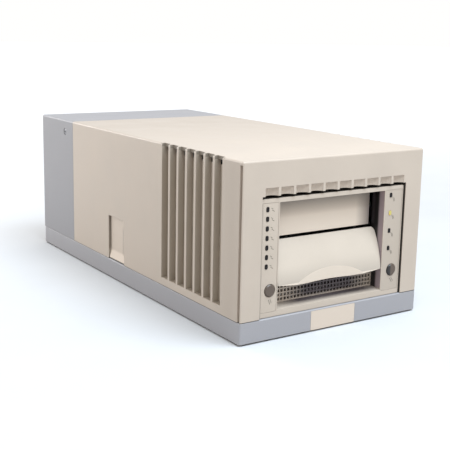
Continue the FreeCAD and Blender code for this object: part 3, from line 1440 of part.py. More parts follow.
def make_button(name, sign):
    """Round button, held by its rim behind the front wall."""
    body = new_body(name, f"{sign}*button_x", "face", "button_z")
    rim_front = "(face_skin + fit)"
    stem_end = "(board_set - switch_tall - button_travel - fit)"
    profile = [
        ("0", "-button_proud"),
        ("button_wide/2 - button_edge", "-button_proud"),
        ("button_wide/2", "button_edge - button_proud"),
        ("button_wide/2", rim_front),
        ("button_wide/2 + button_step", rim_front),
        ("button_wide/2 + button_step", f"{rim_front} + button_rim"),
        ("button_stem", f"{rim_front} + button_rim"),
        ("button_stem", stem_end),
        ("0", stem_end),
    ]
    turn_profile(body, "Cap", profile, plane="XY")
    return body


def make_slot_visor():
    body = new_body("slot_visor")
    plate = rectangle("recess_left", "recess_right - visor_gap", "visor_low", "recess_high")
    extrude(body, "Panel", "XZ", "recess_back", "recess_back + visor_thick", [plate])
    return body


def make_vent_grille():
    body = new_body("vent_grille")
    plate = rectangle("recess_left", "recess_right", "recess_step", "grille_high")
    start, end = "recess_back", "recess_back + grille_thick"
    extrude(body, "Plate", "XZ", start, end, [plate])
    first_x = "(recess_middle - (mesh_columns - 1)*mesh_pitch/2)"
    first_z = "(recess_step + mesh_up)"
    square = rectangle(f"{first_x} - mesh/2", f"{first_x} + mesh/2",
                       f"{first_z} - mesh/2", f"{first_z} + mesh/2")
    hole = extrude(body, "Hole", "XZ", start, end, [square], cut=True)
    repeat_grid(body, "Holes", hole, ("X_Axis", "mesh_pitch", "mesh_columns"),
                ("Z_Axis", "mesh_pitch", "mesh_rows"))
    return body


def make_release_handle():
    """Bowed handle with a thick lip, a finger scoop and an arm to the pivot at each end."""
    body = new_body("release_handle")
    bottom = "(handle_low - handle_dip)"
    back_low = "(handle_front + handle_lip)"
    section = [
        ("face + handle_top_in", "handle_top"),
        ("handle_front", "handle_low", "handle_bow", 1),
        ("handle_front + handle_lean", bottom),
        (back_low, f"{bottom} + handle_heel"),
        ("face + handle_top_in + handle_web", "handle_top - handle_fall", "handle_back", -1),
    ]
    extrude(body, "Bow", "YZ", "handle_left", "handle_right", [section])
    arm = [
        ("face + arm_in", "handle_low + arm_up"),
        ("face + arm_in + arm_deep", "handle_low + arm_up + arm_rise"),
        ("pivot_y + pivot_boss", "pivot_z"),
        ("pivot_y", "pivot_z + pivot_boss", "pivot_boss", 1),
        ("face + handle_top_in - bite", "handle_top - handle_web"),
    ]
    ends = (
        ("left", "handle_left", "handle_left + cheek"),
        ("right", "handle_right - cheek", "handle_right"),
    )
    hole = [("pivot_y", "pivot_z", "pin_wide/2 + screw_fit")]
    for tag, start, end in ends:
        extrude(body, f"Arm_{tag}", "YZ", start, end, [arm])
        extrude(body, f"PinHole_{tag}", "YZ", start, end, circles=hole, cut=True)
    half = "((handle_right - handle_left)/2)"
    sag = f"({half}^2 + handle_dip^2)/(2*handle_dip)"
    below = [
        ("handle_left", f"{bottom} - bite"),
        ("handle_right", f"{bottom} - bite"),
        ("handle_right", "handle_low"),
        ("handle_left", "handle_low", sag, -1),
    ]
    extrude(body, "BottomCurve", "XZ", "face", "face + 2*handle_lip", [below], cut=True)
    for tag, edge, inward in (("left", "handle_left", 1), ("right", "handle_right", -1)):
        corner = [
            (edge, "handle_top - handle_round"),
            (edge, "handle_top + bite"),
            (f"{edge} + {inward}*handle_round", "handle_top + bite"),
            (f"{edge} + {inward}*handle_round", "handle_top"),
        ]
        corner[0] = (*corner[0], "handle_round", inward)
        extrude(body, f"TopCorner_{tag}", "XZ", "face", "face + handle_top_in + handle_web + bite",
                [corner], cut=True)
    scoop = body.newObject("PartDesign::SubtractiveCylinder", "Scoop")
    scoop.Placement = Placement(Vector(0, 0, 0), Rotation(Vector(1, 0, 0), value_of("scoop_tilt")))
    scoop.setExpression("Radius", bound("scoop_round"))
    scoop.setExpression("Height", bound("4*scoop_up"))
    scoop.setExpression(".Placement.Rotation.Angle", bound("scoop_tilt"))
    scoop.setExpression(".Placement.Base.x", bound("recess_middle"))
    reach = "(2*scoop_up)"
    scoop.setExpression(
        ".Placement.Base.y",
        bound(f"face + scoop_in - scoop_round*cos(scoop_tilt) + {reach}*sin(scoop_tilt)"),
    )
    scoop.setExpression(
        ".Placement.Base.z",
        bound(f"face_low + scoop_up - scoop_round*sin(scoop_tilt) - {reach}*cos(scoop_tilt)"),
    )
    return body


def make_handle_pins():
    body = new_body("handle_pins")
    pin = [("pivot_y", "pivot_z", "pin_wide/2")]
    ends = {
        "left": ("recess_left - face_wall - bite", "handle_left + cheek"),
        "right": ("handle_right - cheek", "recess_right + face_wall + bite"),
    }
    for tag, (left, right) in ends.items():
        extrude(body, f"Pin_{tag}", "YZ", left, right, circles=pin)
    return body


# Body of the drive


def roller_spot(index):
    """Middle of one guide roller on the arc round the take-up reel."""
    angle = f"(path_start + {index}*path_step)"
    return f"reel_x - path_round*cos({angle})", f"reel_y + path_round*sin({angle})"


def post_spots():
    return [
        (f"{sign}*post_x", y)
        for sign in (-1, 1)
        for y in ("drive_front + 5*post_set", "drive_back - 2*post_set")
    ]


def rail_screw_spots():
    return [(y, "rail_screw_z") for y in ("rail_front + rail_screw_in", "rail_back - rail_screw_in")]


def make_drive_base():
    """Cast tub with posts, roller axles and guides for the receiver."""
    body = new_body("drive_base")
    block = rounded("-drive_side", "drive_side", "drive_front", "drive_back", "small_round")
    extrude(body, "Tub", "XY", "drive_low", "cast_high", [block])
    inside = rectangle("-drive_inside", "drive_inside", "drive_front - bite",
                       "drive_back - cast_wall")
    extrude(body, "Hollow", "XY", "cast_top", "cast_high", [inside], cut=True)
    posts = [(x, y, "post_wide/2") for x, y in post_spots()]
    extrude(body, "Posts", "XY", "cast_top", "board_low", circles=posts)
    spots = [roller_spot(index) for index in range(4)]
    collars = [(x, y, "roller_axle") for x, y in spots]
    extrude(body, "AxleCollars", "XY", "cast_top", "roller_low - guide_gap", circles=collars)
    axles = [(x, y, "roller_axle/2") for x, y in spots]
    extrude(body, "Axles", "XY", "cast_top", "roller_low + roller_tall + bite", circles=axles)
    for tag, sign in SIDES:
        near_edge = f"recess_middle + {sign}*(receiver_half + receiver_wall + guide_gap)"
        far_edge = f"{sign}*drive_inside"
        left, right = (near_edge, far_edge) if sign > 0 else (far_edge, near_edge)
        ribs = [
            rectangle(left, right, y, f"{y} + guide_wide")
            for y in ("receiver_front + guide_wide", "receiver_back - 3*guide_wide")
        ]
        extrude(body, f"Guides_{tag}", "XY", "cast_top", "cast_high", ribs)
    holes = [(y, z, "screw_core/2 + screw_fit") for y, z in rail_screw_spots()]
    for tag, sign in SIDES:
        left, right = mirrored_span(sign, "drive_inside", "drive_side")
        extrude(body, f"SideHoles_{tag}", "YZ", left, right, circles=holes, cut=True)
    return body


def make_drive_lid():
    """Folded steel lid on the walls of the casting, with a rear wall open for the plugs."""
    body = new_body("drive_lid")
    section = [
        ("-drive_side", "cast_high"),
        ("lid - drive_side", "cast_high"),
        ("lid - drive_side", "drive_high - lid"),
        ("drive_side - lid", "drive_high - lid"),
        ("drive_side - lid", "cast_high"),
        ("drive_side", "cast_high"),
        ("drive_side", "drive_high"),
        ("-drive_side", "drive_high"),
    ]
    extrude(body, "Fold", "XZ", "drive_front", "drive_back", [section])
    wall = rectangle("-drive_side", "drive_side", "cast_high", "drive_high")
    extrude(body, "RearWall", "XZ", "drive_back - lid", "drive_back", [wall])
    plug_cut = rectangle("-post_x", "post_x", "board_low - bite", "board_high + plug_tall + bite")
    extrude(body, "PlugCut", "XZ", "drive_back - lid", "drive_back", [plug_cut], cut=True)
    return body


def make_drive_brackets():
    """Two U-shaped rails that hang the drive between the chassis walls."""
    body = new_body("drive_brackets")
    high = "(drive_low + rail_tall)"
    holes = [(y, z, "screw_core/2 + screw_fit") for y, z in rail_screw_spots()]
    for tag, sign in SIDES:
        inner, outer = f"{sign}*drive_side", f"{sign}*rail_side"
        step = f"{sign}*rail"
        section = [
            (inner, "drive_low"),
            (outer, "drive_low"),
            (outer, high),
            (f"{outer} - {step}", high),
            (f"{outer} - {step}", "drive_low + rail"),
            (f"{inner} + {step}", "drive_low + rail"),
            (f"{inner} + {step}", high),
            (inner, high),
        ]
        extrude(body, f"Rail_{tag}", "XZ", "rail_front", "rail_back", [section])
        left, right = mirrored_span(sign, "drive_side", "drive_side + rail")
        extrude(body, f"Holes_{tag}", "YZ", left, right, circles=holes, cut=True)
    return body


def make_drive_screws():
    body = new_body("drive_screws")
    shanks = [(y, z, "screw_core/2") for y, z in rail_screw_spots()]
    heads = [(y, z, "screw_head/2") for y, z in rail_screw_spots()]
    for tag, sign in SIDES:
        left, right = mirrored_span(sign, "drive_inside", "drive_side + rail")
        extrude(body, f"Shanks_{tag}", "YZ", left, right, circles=shanks)
        left, right = mirrored_span(sign, "drive_side + rail", "drive_side + rail + screw_cap")
        extrude(body, f"Heads_{tag}", "YZ", left, right, circles=heads)
    return body


def make_cartridge_receiver():
    """Sheet metal tray that takes the cartridge, with lips over it and a hole for the hub."""
    body = new_body("cartridge_receiver")
    wall = "receiver_wall"
    left = "(recess_middle - receiver_half)"
    right = "(recess_middle + receiver_half)"
    section = [
        (f"{left} - {wall}", f"receiver_low - {wall}"),
        (f"{right} + {wall}", f"receiver_low - {wall}"),
        (f"{right} + {wall}", f"receiver_high + {wall}"),
        (f"{right} - receiver_lip", f"receiver_high + {wall}"),
        (f"{right} - receiver_lip", "receiver_high"),
        (right, "receiver_high"),
        (right, "receiver_low"),
        (left, "receiver_low"),
        (left, "receiver_high"),
        (f"{left} + receiver_lip", "receiver_high"),
        (f"{left} + receiver_lip", f"receiver_high + {wall}"),
        (f"{left} - {wall}", f"receiver_high + {wall}"),
    ]
    extrude(body, "Tray", "XZ", "receiver_front", "receiver_back", [section])
    stop = rectangle(f"{left} - {wall}", f"{right} + {wall}", f"receiver_low - {wall}",
                     f"receiver_high + {wall}")
    extrude(body, "RearStop", "XZ", "receiver_back", f"receiver_back + {wall}", [stop])
    hole = [("recess_middle", "hub_y", "hub_hole/2")]
    extrude(body, "HubHole", "XY", f"receiver_low - {wall}", "receiver_low", circles=hole, cut=True)
    return body


def make_reel_motor(name, x, y):
    """Flat motor with its fixed spindle."""
    body = new_body(name, x, y, "cast_top")
    profile = [
        ("0", "0"),
        ("motor_wide/2", "0"),
        ("motor_wide/2", "motor_tall"),
        ("shaft_wide/2", "motor_tall"),
        ("shaft_wide/2", "motor_tall + shaft_tall"),
        ("0", "motor_tall + shaft_tall"),
    ]
    turn_profile(body, "Motor", profile)
    return body


def make_supply_hub():
    """Hub that drives the cartridge's reel through a ring of face teeth."""
    body = new_body("supply_hub", "recess_middle", "hub_y", "motor_top + guide_gap")
    profile = [
        ("shaft_wide/2 + shaft_fit", "0"),
        ("hub_wide/2", "0"),
        ("hub_wide/2", "hub_rim"),
        ("hub_core/2", "hub_rim"),
        ("hub_core/2", "hub_tall - tooth_tall"),
        ("shaft_wide/2 + shaft_fit", "hub_tall - tooth_tall"),
    ]
    turn_profile(body, "Hub", profile)
    edge = "(hub_core/2 - tooth_in)"
    tooth = rectangle("-tooth_wide/2", "tooth_wide/2", f"{edge} - tooth_long", edge)
    first = extrude(body, "Tooth", "XY", "hub_tall - tooth_tall", "hub_tall", [tooth])
    repeat_round(body, "Teeth", first, (origin_part(body, "Z_Axis"), [""]), "hub_teeth")
    return body


def make_takeup_reel():
    body = new_body("takeup_reel", "reel_x", "reel_y", "motor_top + guide_gap")
    profile = [
        ("shaft_wide/2 + shaft_fit", "0"),
        ("reel_wide/2", "0"),
        ("reel_wide/2", "reel_flange"),
        ("reel_core/2", "reel_flange"),
        ("reel_core/2", "reel_tall - reel_flange"),
        ("reel_wide/2", "reel_tall - reel_flange"),
        ("reel_wide/2", "reel_tall"),
        ("shaft_wide", "reel_tall"),
        ("shaft_wide", "shaft_tall"),
        ("shaft_wide/2 + shaft_fit", "shaft_tall"),
    ]
    turn_profile(body, "Reel", profile)
    return body


def make_guide_roller(index):
    x, y = roller_spot(index)
    body = new_body(f"guide_roller_{index + 1}", x, y, "roller_low")
    profile = [
        ("roller_axle/2 + shaft_fit", "0"),
        ("roller_wide/2", "0"),
        ("roller_wide/2", "roller_rim"),
        ("roller_wide/2 - roller_waist", "roller_rim"),
        ("roller_wide/2 - roller_waist", "roller_tall - roller_rim"),
        ("roller_wide/2", "roller_tall - roller_rim"),
        ("roller_wide/2", "roller_tall"),
        ("roller_axle/2 + shaft_fit", "roller_tall"),
    ]
    turn_profile(body, "Roller", profile)
    return body


def rod_circles(radius):
    return [("0", f"{sign}*rod_pitch/2", radius) for sign in (-1, 1)]


def make_head_mount():
    """Foot and two rods on which the read and write head climbs across the tape."""
    body = new_body("head_mount", "head_x", "reel_y", "cast_top")
    foot = rectangle("-head_wide/2", "head_wide/2", "-head_long/2", "head_long/2")
    extrude(body, "Foot", "XY", "0", "head_foot", [foot])
    rod_top = "head_up + head_tall + head_travel + bite - cast_floor"
    extrude(body, "Rods", "XY", "head_foot", rod_top, circles=rod_circles("rod_wide/2"))
    extrude(body, "Bridge", "XY", rod_top, f"{rod_top} + head_foot", [foot])
    return body


def make_head_carriage():
    body = new_body("head_carriage", "head_x", "reel_y", "head_low")
    block = [
        ("head_wide/2", "-head_long/2"),
        ("head_wide/2", "head_long/2"),
        ("0", "head_long/2"),
        ("-head_wide/2", "head_long/5"),
        ("-head_wide/2", "-head_long/5"),
        ("0", "-head_long/2"),
    ]
    extrude(body, "Block", "XY", "0", "head_tall", [block])
    extrude(body, "RodHoles", "XY", "0", "head_tall",
            circles=rod_circles("rod_wide/2 + shaft_fit"), cut=True)
    return body


def make_main_board():
    body = new_body("main_board")
    outline = rectangle("-drive_side + 2*lid", "drive_side - 2*lid", "drive_front + 3*post_set",
                        "drive_back - 2*lid")
    extrude(body, "Board", "XY", "board_low", "board_high", [outline])
    chips = [
        rectangle(f"{x} - {half}", f"{x} + {half}", f"hub_y + {y} - {half}", f"hub_y + {y} + {half}")
        for x, y, half in CHIPS
    ]
    extrude(body, "Chips", "XY", "board_high", "board_high + chip_tall", chips)
    return body


def make_drive_plugs():
    """Signal and power connectors at the back edge of the main board."""
    body = new_body("drive_plugs")
    spans = (
        ("port_x - port_wide/2", "port_x + port_wide/2"),
        ("lead_left - lead_thick", "lead_left + lead_wide + lead_thick"),
    )
    shells = [
        rounded(left, right, "board_high", "board_high + plug_tall", "small_round/2")
        for left, right in spans
    ]
    extrude(body, "Shells", "XZ", "drive_back - plug_long/2", "plug_y", shells)
    return body


def ribbon_outline(start, drop, end, high, low, thick):
    """Side view of a flat cable: back from start, down at drop and back again to end."""
    half = f"({thick})/2"
    outer, inner = f"(cable_bend + {half})", f"(cable_bend - {half})"
    return [
        (start, f"{high} - {half}"),
        (f"{drop} - cable_bend", f"{high} - {half}"),
        (f"{drop} - {half}", f"{high} - cable_bend", inner, -1),
        (f"{drop} - {half}", f"{low} + cable_bend"),
        (f"{drop} + cable_bend", f"{low} - {half}", outer, 1),
        (end, f"{low} - {half}"),
        (end, f"{low} + {half}"),
        (f"{drop} + cable_bend", f"{low} + {half}"),
        (f"{drop} + {half}", f"{low} + cable_bend", inner, -1),
        (f"{drop} + {half}", f"{high} - cable_bend"),
        (f"{drop} - cable_bend", f"{high} + {half}", outer, 1),
        (start, f"{high} + {half}"),
    ]


def make_signal_cable():
    body = new_body("signal_cable")
    side_view = ribbon_outline("plug_y", "plug_y + 3*cable_bend", "panel_front - port_deep",
                               "plug_z", "port_top", "cable_thick")
    extrude(body, "Ribbon", "YZ", "port_x - cable_wide/2", "port_x + cable_wide/2", [side_view])
    return body


def make_power_lead():
    body = new_body("power_lead")
    low = "(psu_low + psu_tall/2 + lead_thick/2)"
    side_view = ribbon_outline("plug_y", "plug_y + 1.5*cable_bend", "psu_front + psu_skin", "plug_z",
                               low, "lead_thick")
    extrude(body, "Lead", "YZ", "lead_left", "lead_left + lead_wide", [side_view])
    return body


def build_all():
    left_column, right_column = lens_columns()
    nodes = [
        make_base_tray(),
        make_rubber_feet(),
        make_badge_plate(),
        make_chassis_frame(),
        make_vent_screens(),
        make_top_cover(),
        make_front_bezel(),
        make_rear_cover(),
        make_cover_screws(),
        make_rear_panel(),
        make_panel_screws(),
        make_psu_housing(),
        make_psu_board(),
        make_power_inlet(),
        make_inlet_pins(),
        make_switch_frame(),
        make_power_rocker(),
        make_fan_frame(),
        make_fan_rotor(),
        make_fan_screws(),
        make_data_port("lower_data_port", "port_z"),
        make_data_port("upper_data_port", "port_top"),
        make_port_screws(),
        make_address_switch(),
        make_address_wheel(),
        make_address_key("address_up_key", 1),
        make_address_key("address_down_key", -1),
        make_drive_bezel(),
        make_indicator_strip(left_column),
        make_indicator_strip(right_column),
        make_panel_boards(),
        make_button("density_button", -1),
        make_button("unload_button", 1),
        make_slot_visor(),
        make_vent_grille(),
        make_release_handle(),
        make_handle_pins(),
        make_drive_base(),
        make_drive_lid(),
        make_drive_brackets(),
        make_drive_screws(),
        make_cartridge_receiver(),
        make_reel_motor("supply_motor", "recess_middle", "hub_y"),
        make_reel_motor("takeup_motor", "reel_x", "reel_y"),
        make_supply_hub(),
        make_takeup_reel(),
        make_head_mount(),
        make_head_carriage(),
        make_main_board(),
        make_drive_plugs(),
        make_signal_cable(),
        make_power_lead(),
    ]
    nodes += make_all_lenses()
    nodes += [make_guide_roller(index) for index in range(4)]
    return nodes


def check_document(nodes):
    """Stops on a failed object, an empty or broken shape, or a cut that takes nothing away."""
    problems = []
    for thing in doc.Objects:
        body = thing.getParentGeoFeatureGroup()
        name = f"{body.Label if body else ''}.{thing.Name}"
        if {"Invalid", "Error"} & set(thing.State):
            problems.append(f"{name} failed")
        elif thing.TypeId in CUTS and not thing.BaseFeature.Shape.isNull():
            if thing.Shape.Volume > thing.BaseFeature.Shape.Volume - 1e-6:
                problems.append(f"{name} cuts nothing")
    for node in nodes:
        if node.Shape.isNull() or not node.Shape.isValid() or not node.Shape.Solids:
            problems.append(f"{node.Label} has no valid solid")
    if problems:
        raise RuntimeError("; ".join(problems))


def main():
    nodes = build_all()
    doc.recompute()
    check_document(nodes)
    os.makedirs("parts", exist_ok=True)
    for node in nodes:
        node.Shape.exportStep(f"parts/{node.Label}.step")
    print(f"{len(nodes)} sub-parts written")


main()
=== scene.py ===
import json
import math

import bmesh
import bpy
from mathutils import Matrix, Vector


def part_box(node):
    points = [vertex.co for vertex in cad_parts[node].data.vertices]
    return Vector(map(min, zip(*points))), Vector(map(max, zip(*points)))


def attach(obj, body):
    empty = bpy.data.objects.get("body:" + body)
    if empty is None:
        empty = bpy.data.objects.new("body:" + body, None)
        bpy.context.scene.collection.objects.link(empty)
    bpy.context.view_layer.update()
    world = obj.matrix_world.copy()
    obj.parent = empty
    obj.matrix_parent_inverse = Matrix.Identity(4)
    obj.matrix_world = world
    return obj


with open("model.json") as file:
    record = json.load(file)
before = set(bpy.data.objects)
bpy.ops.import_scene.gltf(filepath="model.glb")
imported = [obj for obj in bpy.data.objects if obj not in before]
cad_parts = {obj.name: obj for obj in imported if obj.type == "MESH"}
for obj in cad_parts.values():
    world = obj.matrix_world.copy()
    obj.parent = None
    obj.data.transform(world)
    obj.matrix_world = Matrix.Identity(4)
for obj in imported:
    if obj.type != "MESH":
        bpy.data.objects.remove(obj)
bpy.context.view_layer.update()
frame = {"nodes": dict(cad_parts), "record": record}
nodes = frame["nodes"]

MM = 0.001

# Camera, measured from the photograph: image sizes in its pixels, angles in degrees
IMAGE = 450
FOCUS = 884.5
SHIFT = -20
SENSOR = 36.0
CAMERA_AT = Vector((-462.8, -736.1, 241.6)) * MM
TURN, PITCH, ROLL = 33.29, 11.19, 1.13

# Soft studio light: an even sky, a broad sun overhead, a lamp above the front and one behind on the left
SKY = (1.02, 1.00, 0.99)
KEY_COLOUR = (0.74, 0.87, 1.00)
KEY_STRENGTH = 1.55
KEY_ANGLE = 50.0
KEY_FROM = Vector((0.05, -0.36, 0.93))
FRONT_POWER = 9.4
FRONT_SIZE = 0.7
FRONT_AT = Vector((0.10, -0.53, 0.90))
FRONT_AIM = Vector((0.0, -0.12, 0.12))
SIDE_POWER = 3.4
SIDE_SIZE = 0.4
SIDE_AT = Vector((-0.46, 0.76, 0.36))
SIDE_AIM = Vector((-0.094, 0.15, 0.05))

# Pale floor: half its side in metres, and its level at two distances in millimetres from the part, a painted
# shade that is darker near it
FLOOR_REACH = 12.0
FLOOR_NEAR, FLOOR_FAR = 0.51, 0.80
NEAR, FAR = 450, 1600

# Colours of the plastics, the recess cheeks, painted shade and the printed strokes
WHITE = (1.0, 1.0, 1.0)
BEIGE = (0.428, 0.358, 0.291)
DRIVE = (0.436, 0.366, 0.296)
HANDLE = (0.474, 0.407, 0.334)
BLUE_GREY = (0.240, 0.232, 0.238)
# Taupe painted shade for the insides of the slots and the finger recess's rear wall
SHADE_TAUPE = (0.315, 0.262, 0.206)
SHADOW = (0.010, 0.008, 0.007)
CHEEK = (0.290, 0.225, 0.228)
# Near-black painted shade for the visor's right end, the grille's middle and the sill's back
DEEP_SHADE = (0.050, 0.038, 0.040)
INK = (0.130, 0.115, 0.090)

# Places on the enclosure in millimetres, behind its face or above the table
TRAY_TOP = 19.0
WALL = 3.1
VENT_DEPTH = 7.0
GRIP_BACK = 230.0
GRIP_LONG = 33.0
GRIP_SLOPE = 6.0
GRIP_RAMP = 9.5
GRIP_HIGH = 62.5
BAY_DEPTH = 17.0

# A coated zone in millimetres: its reach past a piece, onto a face and under a skin, and a crisp border
PAST = 1.0
OVER = 0.1
SKIN = 0.3
CRISP = 0.12


# Node trees


def shade(colour, factor):
    """A colour made darker or lighter, up to white."""
    return tuple(min(1.0, channel * factor) for channel in colour)


class Tree:
    """A material's node tree with short ways to add and join nodes."""

    def __init__(self, name):
        self.material = bpy.data.materials.new(name)
        self.material.use_nodes = True
        self.nodes = self.material.node_tree.nodes
        self.links = self.material.node_tree.links
        self.shader = self.nodes["Principled BSDF"]

    def add(self, kind, **settings):
        """A new node with its settings."""
        node = self.nodes.new("ShaderNode" + kind)
        for key, value in settings.items():
            setattr(node, key, value)
        return node

    def join(self, source, target):
        self.links.new(source, target)

    def fill(self, node, **values):
        """Sets a node's own sockets; an underscore stands for a space in their names."""
        for key, value in values.items():
            node.inputs[key.replace("_", " ")].default_value = value

    def feed(self, socket, value):
        """Gives a socket a number, a colour or another node's output."""
        if isinstance(value, tuple):
            socket.default_value = (*value, 1)
        elif isinstance(value, (int, float)):
            socket.default_value = value
        else:
            self.join(value, socket)

    def place(self, stretch=(1, 1, 1)):
        """Object coordinates in millimetres, squeezed or stretched along each axis."""
        coordinates = self.add("TexCoord")
        mapping = self.add("Mapping")
        self.fill(mapping, Scale=[1 / MM * side for side in stretch])
        self.join(coordinates.outputs["Object"], mapping.inputs["Vector"])
        return mapping.outputs["Vector"]

    def noise(self, size, detail, stretch=(1, 1, 1)):
        """Noise whose lumps are about size millimetres across."""
        noise = self.add("TexNoise")
        self.fill(noise, Scale=1 / size, Detail=detail)
        self.join(self.place(stretch), noise.inputs["Vector"])
        return noise.outputs["Fac"]

    def tones(self, factor, colour, low, high, start=0.3, end=0.7):
        """One colour whose brightness follows a factor from low to high."""
        ramp = self.add("ValToRGB")
        stops = ((start, low), (end, high))
        for element, (position, level) in zip(ramp.color_ramp.elements, stops):
            element.position = position
            element.color = (*shade(colour, level), 1)
        self.join(factor, ramp.inputs["Fac"])
        return ramp.outputs["Color"]

    def grey(self, factor, low, high, start=0.3, end=0.7):
        """A plain number that follows a factor from low to high."""
        span = self.add("MapRange")
        self.fill(span, From_Min=start, From_Max=end, To_Min=low, To_Max=high)
        self.join(factor, span.inputs["Value"])
        return span.outputs["Result"]

    def math(self, operation, *values):
        """An arithmetic node on numbers or other nodes' outputs."""
        node = self.add("Math", operation=operation)
        for socket, value in zip(node.inputs, values):
            self.feed(socket, value)
        return node.outputs["Value"]

    def mix(self, factor, first, second):
        """The first colour, covered by the second as far as the factor says."""
        node = self.add("MixRGB")
        for name, value in (("Fac", factor), ("Color1", first), ("Color2", second)):
            self.feed(node.inputs[name], value)
        return node.outputs["Color"]

    def bump(self, height, depth, strength, before=None):
        """Turns a height into a normal; depth is in millimetres."""
        bump = self.add("Bump")
        self.fill(bump, Distance=depth * MM, Strength=strength)
        self.join(height, bump.inputs["Height"])
        if before is not None:
            self.join(before, bump.inputs["Normal"])
        return bump.outputs["Normal"]

    def soft_edges(self, radius):
        """A normal that rounds the edges by a radius in millimetres."""
        bevel = self.add("Bevel", samples=4)
        self.fill(bevel, Radius=radius * MM)
        return bevel.outputs["Normal"]

    def leaning(self, axis, least, most):
        """One on faces whose normal has between least and most along an axis of the piece."""
        turned = self.add("VectorTransform", vector_type="NORMAL", convert_from="WORLD", convert_to="OBJECT")
        self.join(self.add("NewGeometry").outputs["True Normal"], turned.inputs["Vector"])
        normal = self.add("SeparateXYZ")
        self.join(turned.outputs["Vector"], normal.inputs["Vector"])
        above = self.math("GREATER_THAN", normal.outputs[axis], least)
        below = self.math("LESS_THAN", normal.outputs[axis], most)
        return self.math("MULTIPLY", above, below)

    def within(self, box, blur, facing):
        """One inside a box in millimetres, nought outside, for all its faces or those that lean one way."""
        split = self.add("SeparateXYZ")
        self.join(self.place(), split.inputs["Vector"])
        parts = []
        for axis, (near, far), soft in zip("XYZ", box, blur):
            parts.append(self.grey(split.outputs[axis], 0, 1, near - soft, near + soft))
            parts.append(self.grey(split.outputs[axis], 1, 0, far - soft, far + soft))
        if facing:
            parts.append(self.leaning(*facing))
        inside = parts[0]
        for part in parts[1:]:
            inside = self.math("MULTIPLY", inside, part)
        return inside

    def coat(self, colours, zones):
        """Lays the coat of each zone over the colours, the last on top."""
        for box, coat, blur, facing in zones:
            colours = self.mix(self.within(box, blur, facing), colours, coat)
        return colours

    def finish(self, colours, roughness, normal=None, **values):
        """Joins the surface to the shader, sets the shader's other values and hands over the material."""
        for name, source in (("Base Color", colours), ("Roughness", roughness), ("Normal", normal)):
            if source is not None:
                self.join(source, self.shader.inputs[name])
        self.fill(self.shader, **values)
        return self.material


# Kinds of surface, with sizes in millimetres


def moulded(name, colour, roughness=0.42, grain=0.35, depth=0.02, edge=0.25, zones=()):
    """Moulded plastic: fine spark texture, faint clouding, softened edges and coated zones, most of them
    painted light and shade.
    """
    tree = Tree(name)
    clouds = tree.noise(size=38, detail=4)
    specks = tree.grey(tree.noise(size=0.6, detail=2), low=0, high=0.12, start=0.55, end=0.8)
    colours = tree.mix(specks, tree.tones(clouds, colour, low=0.965, high=1.03), shade(colour, 0.72))
    shine = tree.grey(clouds, roughness - 0.05, roughness + 0.06)
    grains = tree.noise(grain, detail=2)
    normal = tree.bump(grains, depth, strength=0.5, before=tree.soft_edges(edge))
    return tree.finish(tree.coat(colours, zones), shine, normal, IOR=1.49)


def sheet_metal(name, colour, roughness=0.38, zones=()):
    """Rolled sheet: long faint streaks, patches of duller zinc and coated zones."""
    tree = Tree(name)
    streaks = tree.noise(size=0.8, detail=4, stretch=(1, 0.02, 1))
    patches = tree.noise(size=9, detail=3)
    colours = tree.tones(patches, colour, low=0.86, high=1.08, start=0.35, end=0.65)
    colours = tree.mix(tree.grey(streaks, low=0, high=0.25), colours, shade(colour, 0.75))
    shine = tree.grey(streaks, roughness - 0.08, roughness + 0.1)
    normal = tree.bump(streaks, depth=0.01, strength=0.4, before=tree.soft_edges(0.15))
    return tree.finish(tree.coat(colours, zones), shine, normal, Metallic=1.0)


def painted(name, colour):
    """Powder coat with its orange-peel surface."""
    tree = Tree(name)
    peel = tree.noise(size=0.9, detail=2)
    colours = tree.tones(tree.noise(size=30, detail=3), colour, low=0.93, high=1.05)
    normal = tree.bump(peel, depth=0.03, strength=0.5, before=tree.soft_edges(0.2))
    return tree.finish(colours, tree.grey(peel, low=0.4, high=0.53), normal)


def perforated(name, colour):
    """Painted sheet with a fine close pattern of round holes."""
    tree = Tree(name)
    pattern = tree.add("TexVoronoi")
    tree.fill(pattern, Scale=0.7, Randomness=0.0)
    tree.join(tree.place(), pattern.inputs["Vector"])
    holes = tree.grey(pattern.outputs["Distance"], low=1, high=0, start=0.3, end=0.4)
    clouds = tree.noise(size=20, detail=3)
    colours = tree.tones(clouds, colour, low=0.93, high=1.07)
    colours = tree.mix(tree.math("MULTIPLY", holes, 0.35), colours, shade(colour, 0.4))
    normal = tree.bump(holes, depth=-0.2, strength=0.5)
    return tree.finish(colours, tree.grey(clouds, low=0.5, high=0.65), normal)


def rubber(name, colour):
    """Dull rubber with dust in its fine grain."""
    tree = Tree(name)
    dust = tree.noise(size=4, detail=4)
    colours = tree.tones(dust, colour, low=1.0, high=1.8, start=0.4, end=0.75)
    normal = tree.bump(tree.noise(size=0.4, detail=2), depth=0.03, strength=0.6)
    return tree.finish(colours, tree.grey(dust, low=0.7, high=0.85), normal)


def lens(name, colour, glow):
    """Diffusing light pipe with faint ribs in its depth."""
    tree = Tree(name)
    ribs = tree.noise(size=0.5, detail=2)
    colours = tree.tones(ribs, colour, low=0.8, high=1.25)
    shine = tree.grey(ribs, low=0.12, high=0.25)
    inside = {"Subsurface_Weight": glow, "Subsurface_Scale": 0.6 * MM}
    return tree.finish(colours, shine, IOR=1.5, Specular_IOR_Level=0.2, **inside)


